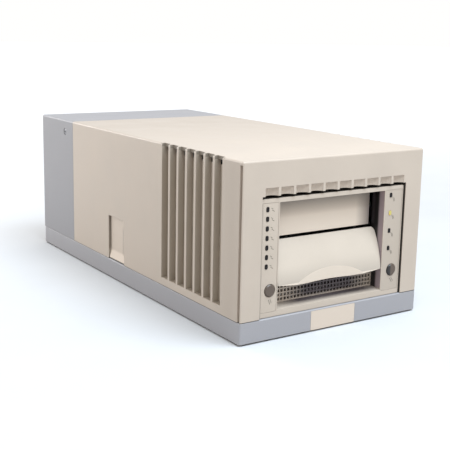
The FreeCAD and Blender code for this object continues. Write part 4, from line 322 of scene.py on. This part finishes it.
def circuit_board(name):
    """Green solder mask over fine copper tracks."""
    tree = Tree(name)
    mask, copper = (0.012, 0.085, 0.035), (0.05, 0.21, 0.08)
    tracks = tree.add("TexBrick")
    tree.fill(tracks, Scale=0.45, Mortar_Size=0.035)
    for socket, colour in (("Color1", mask), ("Color2", shade(mask, 1.35)), ("Mortar", copper)):
        tree.feed(tracks.inputs[socket], colour)
    tree.join(tree.place(), tracks.inputs["Vector"])
    clouds = tree.noise(size=14, detail=3)
    colours = tree.mix(tree.grey(clouds, low=0, high=0.35), tracks.outputs["Color"], shade(mask, 0.7))
    normal = tree.bump(tracks.outputs["Fac"], depth=0.03, strength=0.5)
    return tree.finish(colours, tree.grey(clouds, low=0.25, high=0.4), normal)


def cast(name, colour):
    """Die-cast aluminium with its flow marks and pitted skin."""
    tree = Tree(name)
    flow = tree.noise(size=12, detail=5, stretch=(1, 0.4, 1))
    pits = tree.noise(size=0.5, detail=2)
    colours = tree.tones(flow, colour, low=0.8, high=1.1)
    normal = tree.bump(pits, depth=0.05, strength=0.5, before=tree.soft_edges(0.4))
    return tree.finish(colours, tree.grey(pits, low=0.4, high=0.58), normal, Metallic=0.9)


def turned(name, colour, roughness):
    """Lathe-turned or drawn metal: tight rings with a slight haze."""
    tree = Tree(name)
    rings = tree.noise(size=0.25, detail=2, stretch=(0.1, 0.1, 3))
    haze = tree.noise(size=3, detail=3)
    colours = tree.tones(haze, colour, low=0.85, high=1.0)
    normal = tree.bump(rings, depth=0.008, strength=0.5, before=tree.soft_edges(0.15))
    return tree.finish(colours, tree.grey(haze, roughness, roughness + 0.12), normal, Metallic=1.0)


def ribbon(name, colour):
    """Flat cable: parallel wires along its length."""
    tree = Tree(name)
    wires = tree.add("TexWave", wave_type="BANDS", bands_direction="X")
    tree.fill(wires, Scale=0.12)
    tree.join(tree.place(), wires.inputs["Vector"])
    ridges = wires.outputs["Fac"]
    colours = tree.tones(ridges, colour, low=0.6, high=1.15, start=0.2, end=0.8)
    shine = tree.grey(tree.noise(size=6, detail=3), low=0.4, high=0.55)
    return tree.finish(colours, shine, tree.bump(ridges, depth=0.25, strength=0.7))


# Zones darker or lighter than the rest of their piece, mostly as the photograph shows them

# Their coats: painted light on the grip's floor and ramp, the flutes, the visor and the handle's scoop; the
# badge and the tray just lighter; painted shade for all the others
SLOT_HEAD_SHADE = shade(SHADE_TAUPE, 0.62)
GRIP_FLOOR_LIGHT = shade(BEIGE, 1.14)
GRIP_REAR_SHADE = shade(SHADE_TAUPE, 0.7)
GRIP_FRONT_SHADE = shade(BEIGE, 0.8)
GRIP_FOOT_LIGHT = shade(BEIGE, 1.35)
SIDE_FRONT_SHADE = shade(BEIGE, 0.89)
TOP_REAR_SHADE = shade(BEIGE, 0.88)
BADGE = shade(BEIGE, 1.25)
FLUTES_LIGHT = shade(BEIGE, 1.14)
VISOR_LIGHT = shade(DRIVE, 1.3)
VISOR_TOP_SHADE = shade(DRIVE, 0.38)
GRILLE_SHADOW = shade(DEEP_SHADE, 1.3)
SILL_BACK_SHADE = shade(DEEP_SHADE, 1.1)
BEZEL_EDGE_SHADE = shade(DRIVE, 0.35)
RIGHT_STRIP_SHADE = shade(DRIVE, 0.87)
HANDLE_FOOT_SHADE = shade(HANDLE, 0.8)
SCOOP_LIGHT = shade(HANDLE, 1.42)
TRAY = shade(BLUE_GREY, 1.18)


def corners(name):
    """A CAD node's lowest and highest corners in millimetres."""
    low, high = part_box(name)
    return Vector(low) / MM, Vector(high) / MM


def spans(name):
    """A CAD node's span along each axis in millimetres."""
    return tuple(zip(*corners(name)))


def about(place, reach):
    """A short span on both sides of a place."""
    return place - reach, place + reach


def beyond(low, high):
    """A span that reaches past a piece at both ends."""
    return low - PAST, high + PAST


def fade(x=CRISP, y=CRISP, z=CRISP):
    """Softness of a zone's borders along each axis."""
    return x, y, z


def zone(x, y, z, coat, blur=fade(), facing=None):
    """A box of three spans with its coat; facing is an axis with the least and most of the normal."""
    return [sorted(span) for span in (x, y, z)], coat, blur, facing


def vent_zones(skin, inner, top):
    """Painted shade on the walls of the ventilation slots in one side, darker under the lid."""
    _, slots, (foot, _) = spans("vent_screens")
    sill, roof = 0.5, top - SKIN
    return [
        zone((skin, inner), slots, (foot + sill, roof), SHADE_TAUPE),
        zone((skin, inner), slots, (top - WALL, roof), SLOT_HEAD_SHADE),
    ]


def grip_zones(skin, outer, inner, rear):
    """Painted light on the floor and ramp of the finger recess in one side, painted shade on its rear wall
    and sloping front, and a painted shadow in its bottom gap.
    """
    start = rear - GRIP_LONG
    slope_low, gap = 8, 1.5
    inside, through = (skin, inner), (outer, inner)
    long, high = (start, rear), (TRAY_TOP, GRIP_HIGH)
    slope, slope_high = (start, start + GRIP_SLOPE), (TRAY_TOP, GRIP_HIGH - slope_low)
    ramp, bottom = (TRAY_TOP, TRAY_TOP + GRIP_RAMP), (TRAY_TOP - OVER, TRAY_TOP + gap)
    return [
        zone(inside, long, high, GRIP_FLOOR_LIGHT),
        zone(through, about(rear, OVER), high, GRIP_REAR_SHADE),
        zone(inside, slope, slope_high, GRIP_FRONT_SHADE, fade(y=1.5, z=3)),
        zone(inside, long, ramp, GRIP_FOOT_LIGHT, fade(y=0.5, z=1.5)),
        zone(through, long, bottom, SHADOW, fade(y=0.5, z=0.5)),
    ]


def bay_zones(face):
    """Painted light on the flutes above the drive and painted shade in the throat round it."""
    side, _, top = corners("drive_bezel")[1]
    clearance, flute_rim, flute_deep, flute_low, flute_high = 1.2, 0.4, 8, 2.4, 16
    throat_rim, throat_high = 0.5, 2.3
    wide = (-side - clearance, side + clearance)
    flutes_y, flutes_z = (face + flute_rim, face + flute_deep), (top + flute_low, top + flute_high)
    throat_y, throat_z = (face + throat_rim, face + BAY_DEPTH), (TRAY_TOP, top + throat_high)
    return [zone(wide, flutes_y, flutes_z, FLUTES_LIGHT), zone(wide, throat_y, throat_z, SHADOW)]


def cover_zones():
    """Painted shade and light in the slots, recesses and bay, painted shade on the sides' front ends and the
    top's rear, the lighter badge, and a painted shadow along the lower seam.
    """
    side, back, top = corners("top_cover")[1]
    face = corners("front_bezel")[0].y
    badge_x, (badge_front, badge_back), badge_z = spans("badge_plate")
    side_end, top_start, past_rear, lid_edge = 30, 150, 200, 0.5
    front_end, front_high = (face - PAST, face + side_end), (TRAY_TOP + PAST, top - PAST)
    rear_end, lid = (face + top_start, back + past_rear), (top - lid_edge, top + PAST)
    seam = (TRAY_TOP - OVER, TRAY_TOP + SKIN)
    zones = []
    for sign in (-1, 1):
        skin, outer, inner = (sign * (side - inset) for inset in (SKIN, -OVER, VENT_DEPTH))
        zones += vent_zones(skin, inner, top)
        zones += grip_zones(skin, outer, inner, face + GRIP_BACK)
        zones.append(zone((skin, outer), front_end, front_high, SIDE_FRONT_SHADE, fade(y=14, z=0.5)))
    wide = beyond(-side, side)
    zones.append(zone(wide, rear_end, lid, TOP_REAR_SHADE, fade(x=0.5, y=110, z=0.3)))
    zones.append(zone(badge_x, (badge_front - PAST, badge_back), badge_z, BADGE))
    zones.append(zone(wide, (face - PAST, back), seam, SHADOW))
    return zones + bay_zones(face)


def bezel_zones(recess_x, recess_z):
    """Painted shade on the outer walls of the drive's bezel; the cheeks of its recess, with painted shade at
    their backs.
    """
    bezel_x, (front, back), bezel_z = spans("drive_bezel")
    lip, cheek_long = 0.6, 6.5
    walls, cheek_ends = (front + lip, back + PAST), (front + cheek_long, back + PAST)
    zones = [zone(about(edge, OVER), walls, bezel_z, SHADOW) for edge in bezel_x]
    zones.append(zone(bezel_x, walls, about(bezel_z[1], OVER), SHADOW))
    for edge in recess_x:
        zones.append(zone(about(edge, SKIN), walls, recess_z, CHEEK))
        zones.append(zone(about(edge, SKIN), cheek_ends, recess_z, SHADOW, fade(y=1)))
    return zones


def visor_zones(left, end, plate_y, foot, top):
    """Painted light on the visor's plate, with painted shade on the right and under the bezel's lip."""
    inside, outside, under_lip, above_lip = 5, 9, 9, 9
    right_shade, shaded = (end - inside, end + outside), (top - under_lip, top + above_lip)
    return [
        zone((left, end), plate_y, (foot, top), VISOR_LIGHT),
        zone(right_shade, plate_y, (foot, top), DEEP_SHADE, fade(x=10)),
        zone((left, end), plate_y, shaded, VISOR_TOP_SHADE, fade(z=8)),
    ]


def grille_zones(left, right, plate_y, low, high):
    """Painted shadow of the handle on the grille's middle, and painted shade on the back of the sill before
    it.
    """
    from_left, from_right, from_low, above = 26, 14, 1.5, 9
    sill_left, sill_long, sill_low = 16, 6.7, 8
    middle, behind_handle = (left + from_left, right - from_right), (low + from_low, high + above)
    sill_y, sill_z = (plate_y[0] - sill_long, plate_y[1]), (low - sill_low, low + SKIN)
    return [
        zone(middle, plate_y, behind_handle, GRILLE_SHADOW, fade(x=12, z=2)),
        zone((left + sill_left, right), sill_y, sill_z, SILL_BACK_SHADE, fade(x=12, y=3.5)),
    ]


def drive_zones():
    """Painted shade and light on the drive's bezel with its recess, visor and grille, a painted shade line
    on the bezel's left edge, and painted shade on the right-hand strip.
    """
    (side, _), (front, _), (foot, head) = spans("drive_bezel")
    (left, right), _, (grille_low, grille_high) = spans("vent_grille")
    (_, visor_end), (plane, _), (visor_low, visor_high) = spans("slot_visor")
    strip_x, (strip_front, _), strip_z = spans("right_indicator_strip")
    plate_thick, edge_wide, edge_short = 3, 0.5, 3
    plate_y, top = (plane - SKIN, plane + plate_thick), visor_high + PAST
    edge_x, edge_z = (side - OVER, side + edge_wide), (foot, head - edge_short)
    zones = bezel_zones((left, right), (grille_low, top))
    zones += visor_zones(left, visor_end, plate_y, visor_low, top)
    zones += grille_zones(left, right, plate_y, grille_low, grille_high)
    zones.append(zone(edge_x, (front - OVER, front + PAST), edge_z, BEZEL_EDGE_SHADE))
    zones.append(zone(strip_x, about(strip_front, OVER), strip_z, RIGHT_STRIP_SHADE))
    return zones


def handle_zones():
    """Painted shade on the handle's foot and painted light on its finger scoop, whose face leans downwards.
    """
    wide, (front, back), (low, _) = spans("release_handle")
    below, foot_high, scoop_deep, scoop_high = 20, 8, 5, 16
    foot = (low - below, low + foot_high)
    scoop_y, scoop_z = (front - PAST, front + scoop_deep), (low, low + scoop_high)
    return [
        zone(beyond(*wide), (front - PAST, back), foot, HANDLE_FOOT_SHADE, fade(z=9)),
        zone(wide, scoop_y, scoop_z, SCOOP_LIGHT, facing=("Z", -0.6, -0.12)),
    ]


def button_zones():
    """A painted shadow: the black crescent on the left of the button on the right."""
    (left, right), (front, _), high = max(spans(name) for name in ("density_button", "unload_button"))
    off_middle, deep = 1.2, 5
    end = (left + right) / 2 - off_middle
    return [zone((left - PAST, end), (front - PAST, front + deep), high, SHADOW, fade(x=0.7))]


def rear_zones():
    """The tray coloured lighter than the hood, and a painted shadow along the seam between it and the rear
    hood.
    """
    hood_x, hood_y, _ = spans("rear_cover")
    tray_x, tray_y, (foot, _) = spans("base_tray")
    seam = 0.25
    return [
        zone(beyond(*tray_x), beyond(*tray_y), (foot, TRAY_TOP - OVER), TRAY),
        zone(hood_x, hood_y, (TRAY_TOP, TRAY_TOP + seam), SHADOW),
    ]


def port_zones():
    """Dark insides of the two data ports."""
    side_wall, wall = 2.2, 1.0
    zones = []
    for name in ("lower_data_port", "upper_data_port"):
        (left, right), (front, back), (low, high) = spans(name)
        inside = (left + side_wall, right - side_wall)
        zones.append(zone(inside, (front - PAST, back - SKIN), (low + wall, high - wall), SHADOW))
    return zones


def make_materials():
    """One material for each slot of the record."""
    return {
        "cover_beige": moulded("cover_beige", BEIGE, zones=cover_zones()),
        "drive_beige": moulded("drive_beige", DRIVE, zones=drive_zones()),
        "handle_beige": moulded(
            "handle_beige", HANDLE, roughness=0.4, grain=0.3, depth=0.012, edge=0.5, zones=handle_zones(),
        ),
        "blue_grey": moulded("blue_grey", BLUE_GREY, roughness=0.45, zones=rear_zones()),
        "foot_rubber": rubber("foot_rubber", (0.02, 0.02, 0.02)),
        "zinc_sheet": sheet_metal("zinc_sheet", (0.55, 0.56, 0.57)),
        "vent_screen": perforated("vent_screen", (0.45, 0.38, 0.30)),
        "panel_sheet": painted("panel_sheet", (0.42, 0.41, 0.38)),
        "screw_steel": turned("screw_steel", (0.34, 0.34, 0.35), roughness=0.42),
        "black_plastic": moulded("black_plastic", (0.018, 0.018, 0.02), roughness=0.45),
        "rocker_plastic": moulded(
            "rocker_plastic", (0.012, 0.012, 0.014), roughness=0.2, grain=0.6, depth=0.004, edge=0.4,
        ),
        "wheel_plastic": moulded("wheel_plastic", (0.6, 0.6, 0.56), roughness=0.4),
        "pin_brass": turned("pin_brass", (0.78, 0.6, 0.3), roughness=0.22),
        "port_metal": sheet_metal("port_metal", (0.62, 0.6, 0.56), roughness=0.3, zones=port_zones()),
        "lens_dark": lens("lens_dark", (0.008, 0.007, 0.007), glow=0.1),
        "lens_amber": lens("lens_amber", (0.50, 0.40, 0.11), glow=0.4),
        "button_grey": moulded(
            "button_grey", (0.088, 0.063, 0.046), roughness=0.38, grain=0.3, depth=0.015, edge=0.5,
            zones=button_zones(),
        ),
        "circuit_board": circuit_board("circuit_board"),
        "cast_metal": cast("cast_metal", (0.5, 0.5, 0.51)),
        "motor_metal": turned("motor_metal", (0.4, 0.4, 0.42), roughness=0.35),
        "reel_plastic": moulded("reel_plastic", (0.05, 0.052, 0.06), roughness=0.4),
        "roller_metal": turned("roller_metal", (0.66, 0.66, 0.68), roughness=0.2),
        "cable_grey": ribbon("cable_grey", (0.2, 0.21, 0.23)),
        "lead_black": rubber("lead_black", (0.02, 0.02, 0.02)),
    }


def paint(piece, material):
    piece.data.materials.clear()
    piece.data.materials.append(material)


materials = make_materials()
for part in frame["record"]["subparts"]:
    paint(nodes[part["node"]], materials[part["material_slot"]])


# Small pieces: printed strokes, painted shade of screw recesses, port contacts, switch marks and wheel
# numbers

# Their thickness, and the gap over which solids_of joins vertices, in millimetres
PRINT = 0.03
RECESS_SHADE = 0.02
CONTACT = 0.12
WELD = 0.001


def solids_of(name):
    """Boxes in millimetres of the separate solids in one CAD node, from the top down, then from the left."""
    mesh = bmesh.new()
    mesh.from_mesh(nodes[name].data)
    bmesh.ops.remove_doubles(mesh, verts=mesh.verts, dist=WELD * MM)
    left = set(mesh.verts)
    boxes = []
    while left:
        wave = [left.pop()]
        found = list(wave)
        while wave:
            spot = wave.pop()
            for edge in spot.link_edges:
                other = edge.other_vert(spot)
                if other in left:
                    left.remove(other)
                    wave.append(other)
                    found.append(other)
        spots = [vertex.co / MM for vertex in found]
        low = Vector([min(spot[axis] for spot in spots) for axis in range(3)])
        high = Vector([max(spot[axis] for spot in spots) for axis in range(3)])
        boxes.append((low, high))
    mesh.free()
    return sorted(boxes, key=lambda box: (-box[1].z, *box[0]))


def capsule(start, end, width, steps=5):
    """Outline of a stroke with round ends."""
    start, end = Vector(start), Vector(end)
    along = math.atan2(end.y - start.y, end.x - start.x)
    outline = []
    for middle, first in ((end, along - math.pi / 2), (start, along + math.pi / 2)):
        for step in range(steps + 1):
            angle = first + math.pi * step / steps
            outline.append(middle + Vector((math.cos(angle), math.sin(angle))) * width / 2)
    return outline


def cross(reach, width):
    """Outline of a cross recess whose arms narrow towards their ends."""
    outline = []
    for quarter in range(4):
        turn = Matrix.Rotation(math.pi / 2 * quarter, 2)
        for spot in ((width / 2, width / 2), (width / 3, reach), (-width / 3, reach)):
            outline.append(turn @ Vector(spot))
    return outline


def ring(radius, width, count=20):
    """Short strokes that close to a circle."""
    spots = []
    for index in range(count):
        angle = 2 * math.pi * index / count
        spots.append((radius * math.cos(angle), radius * math.sin(angle)))
    return [capsule(spots[index - 1], spots[index], width, steps=2) for index in range(count)]


def add_plate(mesh, outline, origin, right, up, thick):
    """Adds one flat plate with its back on the plane through origin."""
    right, up = Vector(right).normalized(), Vector(up).normalized()
    out = right.cross(up)
    layers = []
    for lift in (0.0, thick):
        layers.append([mesh.verts.new((origin + right * u + up * v + out * lift) * MM) for u, v in outline])
    back, front = layers
    mesh.faces.new(list(reversed(back)))
    mesh.faces.new(front)
    for index in range(len(outline)):
        mesh.faces.new((back[index - 1], back[index], front[index], front[index - 1]))


def add_piece(name, body, material, plates):
    """One object from plates of (outline, origin, right, up, thickness) in millimetres."""
    mesh = bmesh.new()
    for plate in plates:
        add_plate(mesh, *plate)
    data = bpy.data.meshes.new(name)
    mesh.to_mesh(data)
    mesh.free()
    piece = bpy.data.objects.new(name, data)
    bpy.context.scene.collection.objects.link(piece)
    paint(piece, material)
    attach(piece, body)


def add_legends():
    """Plain slanted strokes beside the lenses and under the buttons."""
    ink = moulded("legend_ink", INK, roughness=0.6, grain=0.2, depth=0.005, edge=0.05)
    face = corners("left_indicator_strip")[0].y
    bold, plain, fine = 0.55, 0.5, 0.45
    beside_left, beside_right, below = 1.6, 0.8, 1.2
    plates = []

    def stroke(x, z, start, end, width):
        """One stroke on the strips' face, from start to end as seen from the place x, z."""
        plates.append((capsule(start, end, width), Vector((x, face, z)), (1, 0, 0), (0, 0, 1), PRINT))

    for low, high in solids_of("status_lenses"):
        x, z = high.x + beside_left, (low.z + high.z) / 2
        stroke(x, z, (0.6, 0.9), (2.0, 0.1), plain)
        stroke(x, z, (1.4, -0.7), (3.4, -1.9), plain)
    for name in ("top_lens", "amber_lens", "density_lenses"):
        for low, high in solids_of(name):
            x, z = high.x + beside_right, low.z
            stroke(x, z, (0.0, 0.2), (1.6, -3.6), bold)
            stroke(x, z, (1.5, -0.6), (2.6, -3.2), fine)
    for name, lean in (("density_button", -0.6), ("unload_button", 0.6)):
        low, high = corners(name)
        x, z = (low.x + high.x) / 2, low.z - below
        stroke(x, z, (-0.8, -0.6), (0.9 + lean, -4.2), bold)
        stroke(x, z, (0.6, -0.2), (2.4 + lean, -3.4), fine)
    add_piece("strip_legends", "root", ink, plates)


def add_screw_recess_shades():
    """Painted shade of the cross recesses: dark flat crosses on the heads of the screws that show."""
    dark = turned("recess_shade_steel", (0.06, 0.06, 0.062), roughness=0.5)
    slim, blunt = cross(reach=1.5, width=0.8), cross(reach=1.4, width=1.4)
    plates = []
    for name in ("panel_screws", "fan_screws"):
        for low, high in solids_of(name):
            spot = Vector(((low.x + high.x) / 2, high.y, (low.z + high.z) / 2))
            plates.append((slim, spot, (-1, 0, 0), (0, 0, 1), RECESS_SHADE))
    for low, high in solids_of("cover_screws"):
        sign = 1 if low.x > 0 else -1
        edge = high.x if sign > 0 else low.x
        spot = Vector((edge, (low.y + high.y) / 2, (low.z + high.z) / 2))
        plates.append((blunt, spot, (0, sign, 0), (0, 0, 1), RECESS_SHADE))
    add_piece("screw_recess_shades", "root", dark, plates)


def add_contacts():
    """Two rows of contacts on the tongue of each data port."""
    gold = turned("contact_gold", (0.80, 0.62, 0.28), roughness=0.2)
    pitch, count, wide, long = 1.5, 24, 0.8, 5.0
    half_tongue, set_back = 1.4, 3.0
    blade = capsule((0, -long), (0, 0), wide, steps=3)
    plates = []
    for name in ("lower_data_port", "upper_data_port"):
        low, high = corners(name)
        middle_x, middle_z = (low.x + high.x) / 2, (low.z + high.z) / 2
        for index in range(count):
            x = middle_x + (index - (count - 1) / 2) * pitch
            for sign in (-1, 1):
                spot = Vector((x, high.y - set_back, middle_z + sign * half_tongue))
                plates.append((blade, spot, (sign, 0, 0), (0, 1, 0), CONTACT))
    add_piece("port_contacts", "root", gold, plates)


def add_switch_marks():
    """A bar and a ring on the two halves of the power rocker."""
    white = moulded("mark_white", (0.75, 0.75, 0.73), roughness=0.5, grain=0.2, depth=0.004, edge=0.05)
    low, high = corners("power_rocker")
    panel_back = corners("rear_panel")[1].y
    # The tips' height over the rocker's axis and reach before it, its middle's reach, tilt and depth
    reach, tip, dish, lean, behind = 7.4, 5.9, 3.5, 8.0, 3.0
    size, bar_wide, ring_wide = 1.1, 0.5, 0.45
    axis = Vector(((low.x + high.x) / 2, panel_back - behind, (low.z + high.z) / 2))
    turn = Matrix.Rotation(math.radians(lean), 3, "X")
    marks = {1: [capsule((0, -size), (0, size), bar_wide)], -1: ring(size, ring_wide)}
    plates = []
    for sign, outlines in marks.items():
        slope = turn @ Vector((0, sign * (tip - dish), reach))
        spot = axis + turn @ Vector((0, (tip + dish) / 2, sign * reach / 2))
        plates += [(outline, spot, (-1, 0, 0), slope, PRINT) for outline in outlines]
    add_piece("rocker_marks", "rocker", white, plates)


# Ends of the seven strokes of a plain number, two wide and four high, and the strokes of 0 to 7
SEGMENTS = {
    "a": ((-1, 2), (1, 2)), "b": ((1, 2), (1, 0)), "c": ((1, 0), (1, -2)), "d": ((-1, -2), (1, -2)),
    "e": ((-1, 0), (-1, -2)), "f": ((-1, 2), (-1, 0)), "g": ((-1, 0), (1, 0)),
}
DIGITS = ("abcdef", "bc", "abged", "abgcd", "fgbc", "afgcd", "afgedc", "abc")


def add_wheel_digits():
    """Numbers 0 to 7 round the address wheel."""
    dark = moulded("digit_ink", (0.02, 0.02, 0.02), roughness=0.5, grain=0.2, depth=0.004, edge=0.05)
    low, high = corners("address_wheel")
    middle = (low + high) / 2
    radius = (high.y - low.y) / 2
    scale, wide = 0.5, 0.32
    plates = []
    for index, lit in enumerate(DIGITS):
        angle = 2 * math.pi * index / len(DIGITS)
        out = Vector((0, math.cos(angle), math.sin(angle)))
        up = Vector((0, -math.sin(angle), math.cos(angle)))
        for segment in lit:
            start, end = SEGMENTS[segment]
            outline = capsule([scale * v for v in start], [scale * v for v in end], wide, steps=3)
            plates.append((outline, middle + out * radius, (-1, 0, 0), up, PRINT))
    add_piece("wheel_digits", "wheel", dark, plates)


add_legends()
add_screw_recess_shades()
add_contacts()
add_switch_marks()
add_wheel_digits()


# Stage, light and camera


def floor_white():
    """Pale clouded floor with painted shade: darker near the part, lighter away from it."""
    tree = Tree("floor_white")
    away = tree.add("VectorMath", operation="LENGTH")
    tree.join(tree.place(), away.inputs[0])
    clouds = tree.tones(tree.noise(size=60, detail=3), WHITE, low=0.98, high=1.0)
    level = tree.grey(away.outputs["Value"], FLOOR_NEAR, FLOOR_FAR, NEAR, FAR)
    white = tree.add("VectorMath", operation="SCALE")
    tree.join(clouds, white.inputs[0])
    tree.join(level, white.inputs["Scale"])
    tree.join(white.outputs["Vector"], tree.shader.inputs["Base Color"])
    tree.fill(tree.shader, Roughness=0.9)
    return tree.material


def add_floor():
    mesh = bpy.data.meshes.new("studio_floor")
    spots = [(x * FLOOR_REACH, y * FLOOR_REACH, 0) for x, y in ((-1, -1), (1, -1), (1, 1), (-1, 1))]
    mesh.from_pydata(spots, [], [(0, 1, 2, 3)])
    floor = bpy.data.objects.new("studio_floor", mesh)
    bpy.context.scene.collection.objects.link(floor)
    paint(floor, floor_white())


def add_sky():
    world = bpy.data.worlds.new("studio")
    world.use_nodes = True
    background = world.node_tree.nodes["Background"]
    background.inputs["Color"].default_value = (*SKY, 1)
    bpy.context.scene.world = world


def add_lamp(name, kind, place, away, **settings):
    """A lamp at a place whose light comes from the direction away."""
    data = bpy.data.lights.new(name, kind)
    for key, value in settings.items():
        setattr(data, key, value)
    lamp = bpy.data.objects.new(name, data)
    lamp.location = place
    lamp.rotation_euler = away.to_track_quat("Z", "Y").to_euler()
    lamp.visible_camera = False
    bpy.context.scene.collection.objects.link(lamp)


def add_disk(name, place, aim, power, size, colour):
    """A round soft lamp that faces its aim."""
    add_lamp(name, "AREA", place, place - aim, energy=power, color=colour, shape="DISK", size=size)


def add_lights():
    sun = {"energy": KEY_STRENGTH, "color": KEY_COLOUR, "angle": math.radians(KEY_ANGLE)}
    add_lamp("key", "SUN", KEY_FROM, KEY_FROM, **sun)
    add_disk("front", FRONT_AT, FRONT_AIM, FRONT_POWER, FRONT_SIZE, KEY_COLOUR)
    add_disk("side", SIDE_AT, SIDE_AIM, SIDE_POWER, SIDE_SIZE, WHITE)


def add_camera():
    data = bpy.data.cameras.new("photo_camera")
    data.sensor_width = SENSOR
    data.lens = FOCUS / IMAGE * SENSOR
    data.shift_y = SHIFT / IMAGE
    data.clip_start = 0.01
    camera = bpy.data.objects.new("photo_camera", data)
    turn = Matrix.Rotation(-math.radians(TURN), 4, "Z")
    tilt = Matrix.Rotation(math.pi / 2 - math.radians(PITCH), 4, "X")
    roll = Matrix.Rotation(math.radians(ROLL), 4, "Z")
    camera.matrix_world = Matrix.Translation(CAMERA_AT) @ turn @ tilt @ roll
    bpy.context.scene.collection.objects.link(camera)
    bpy.context.scene.camera = camera


add_floor()
add_sky()
add_lights()
add_camera()
bpy.context.scene.view_settings.view_transform = "Standard"
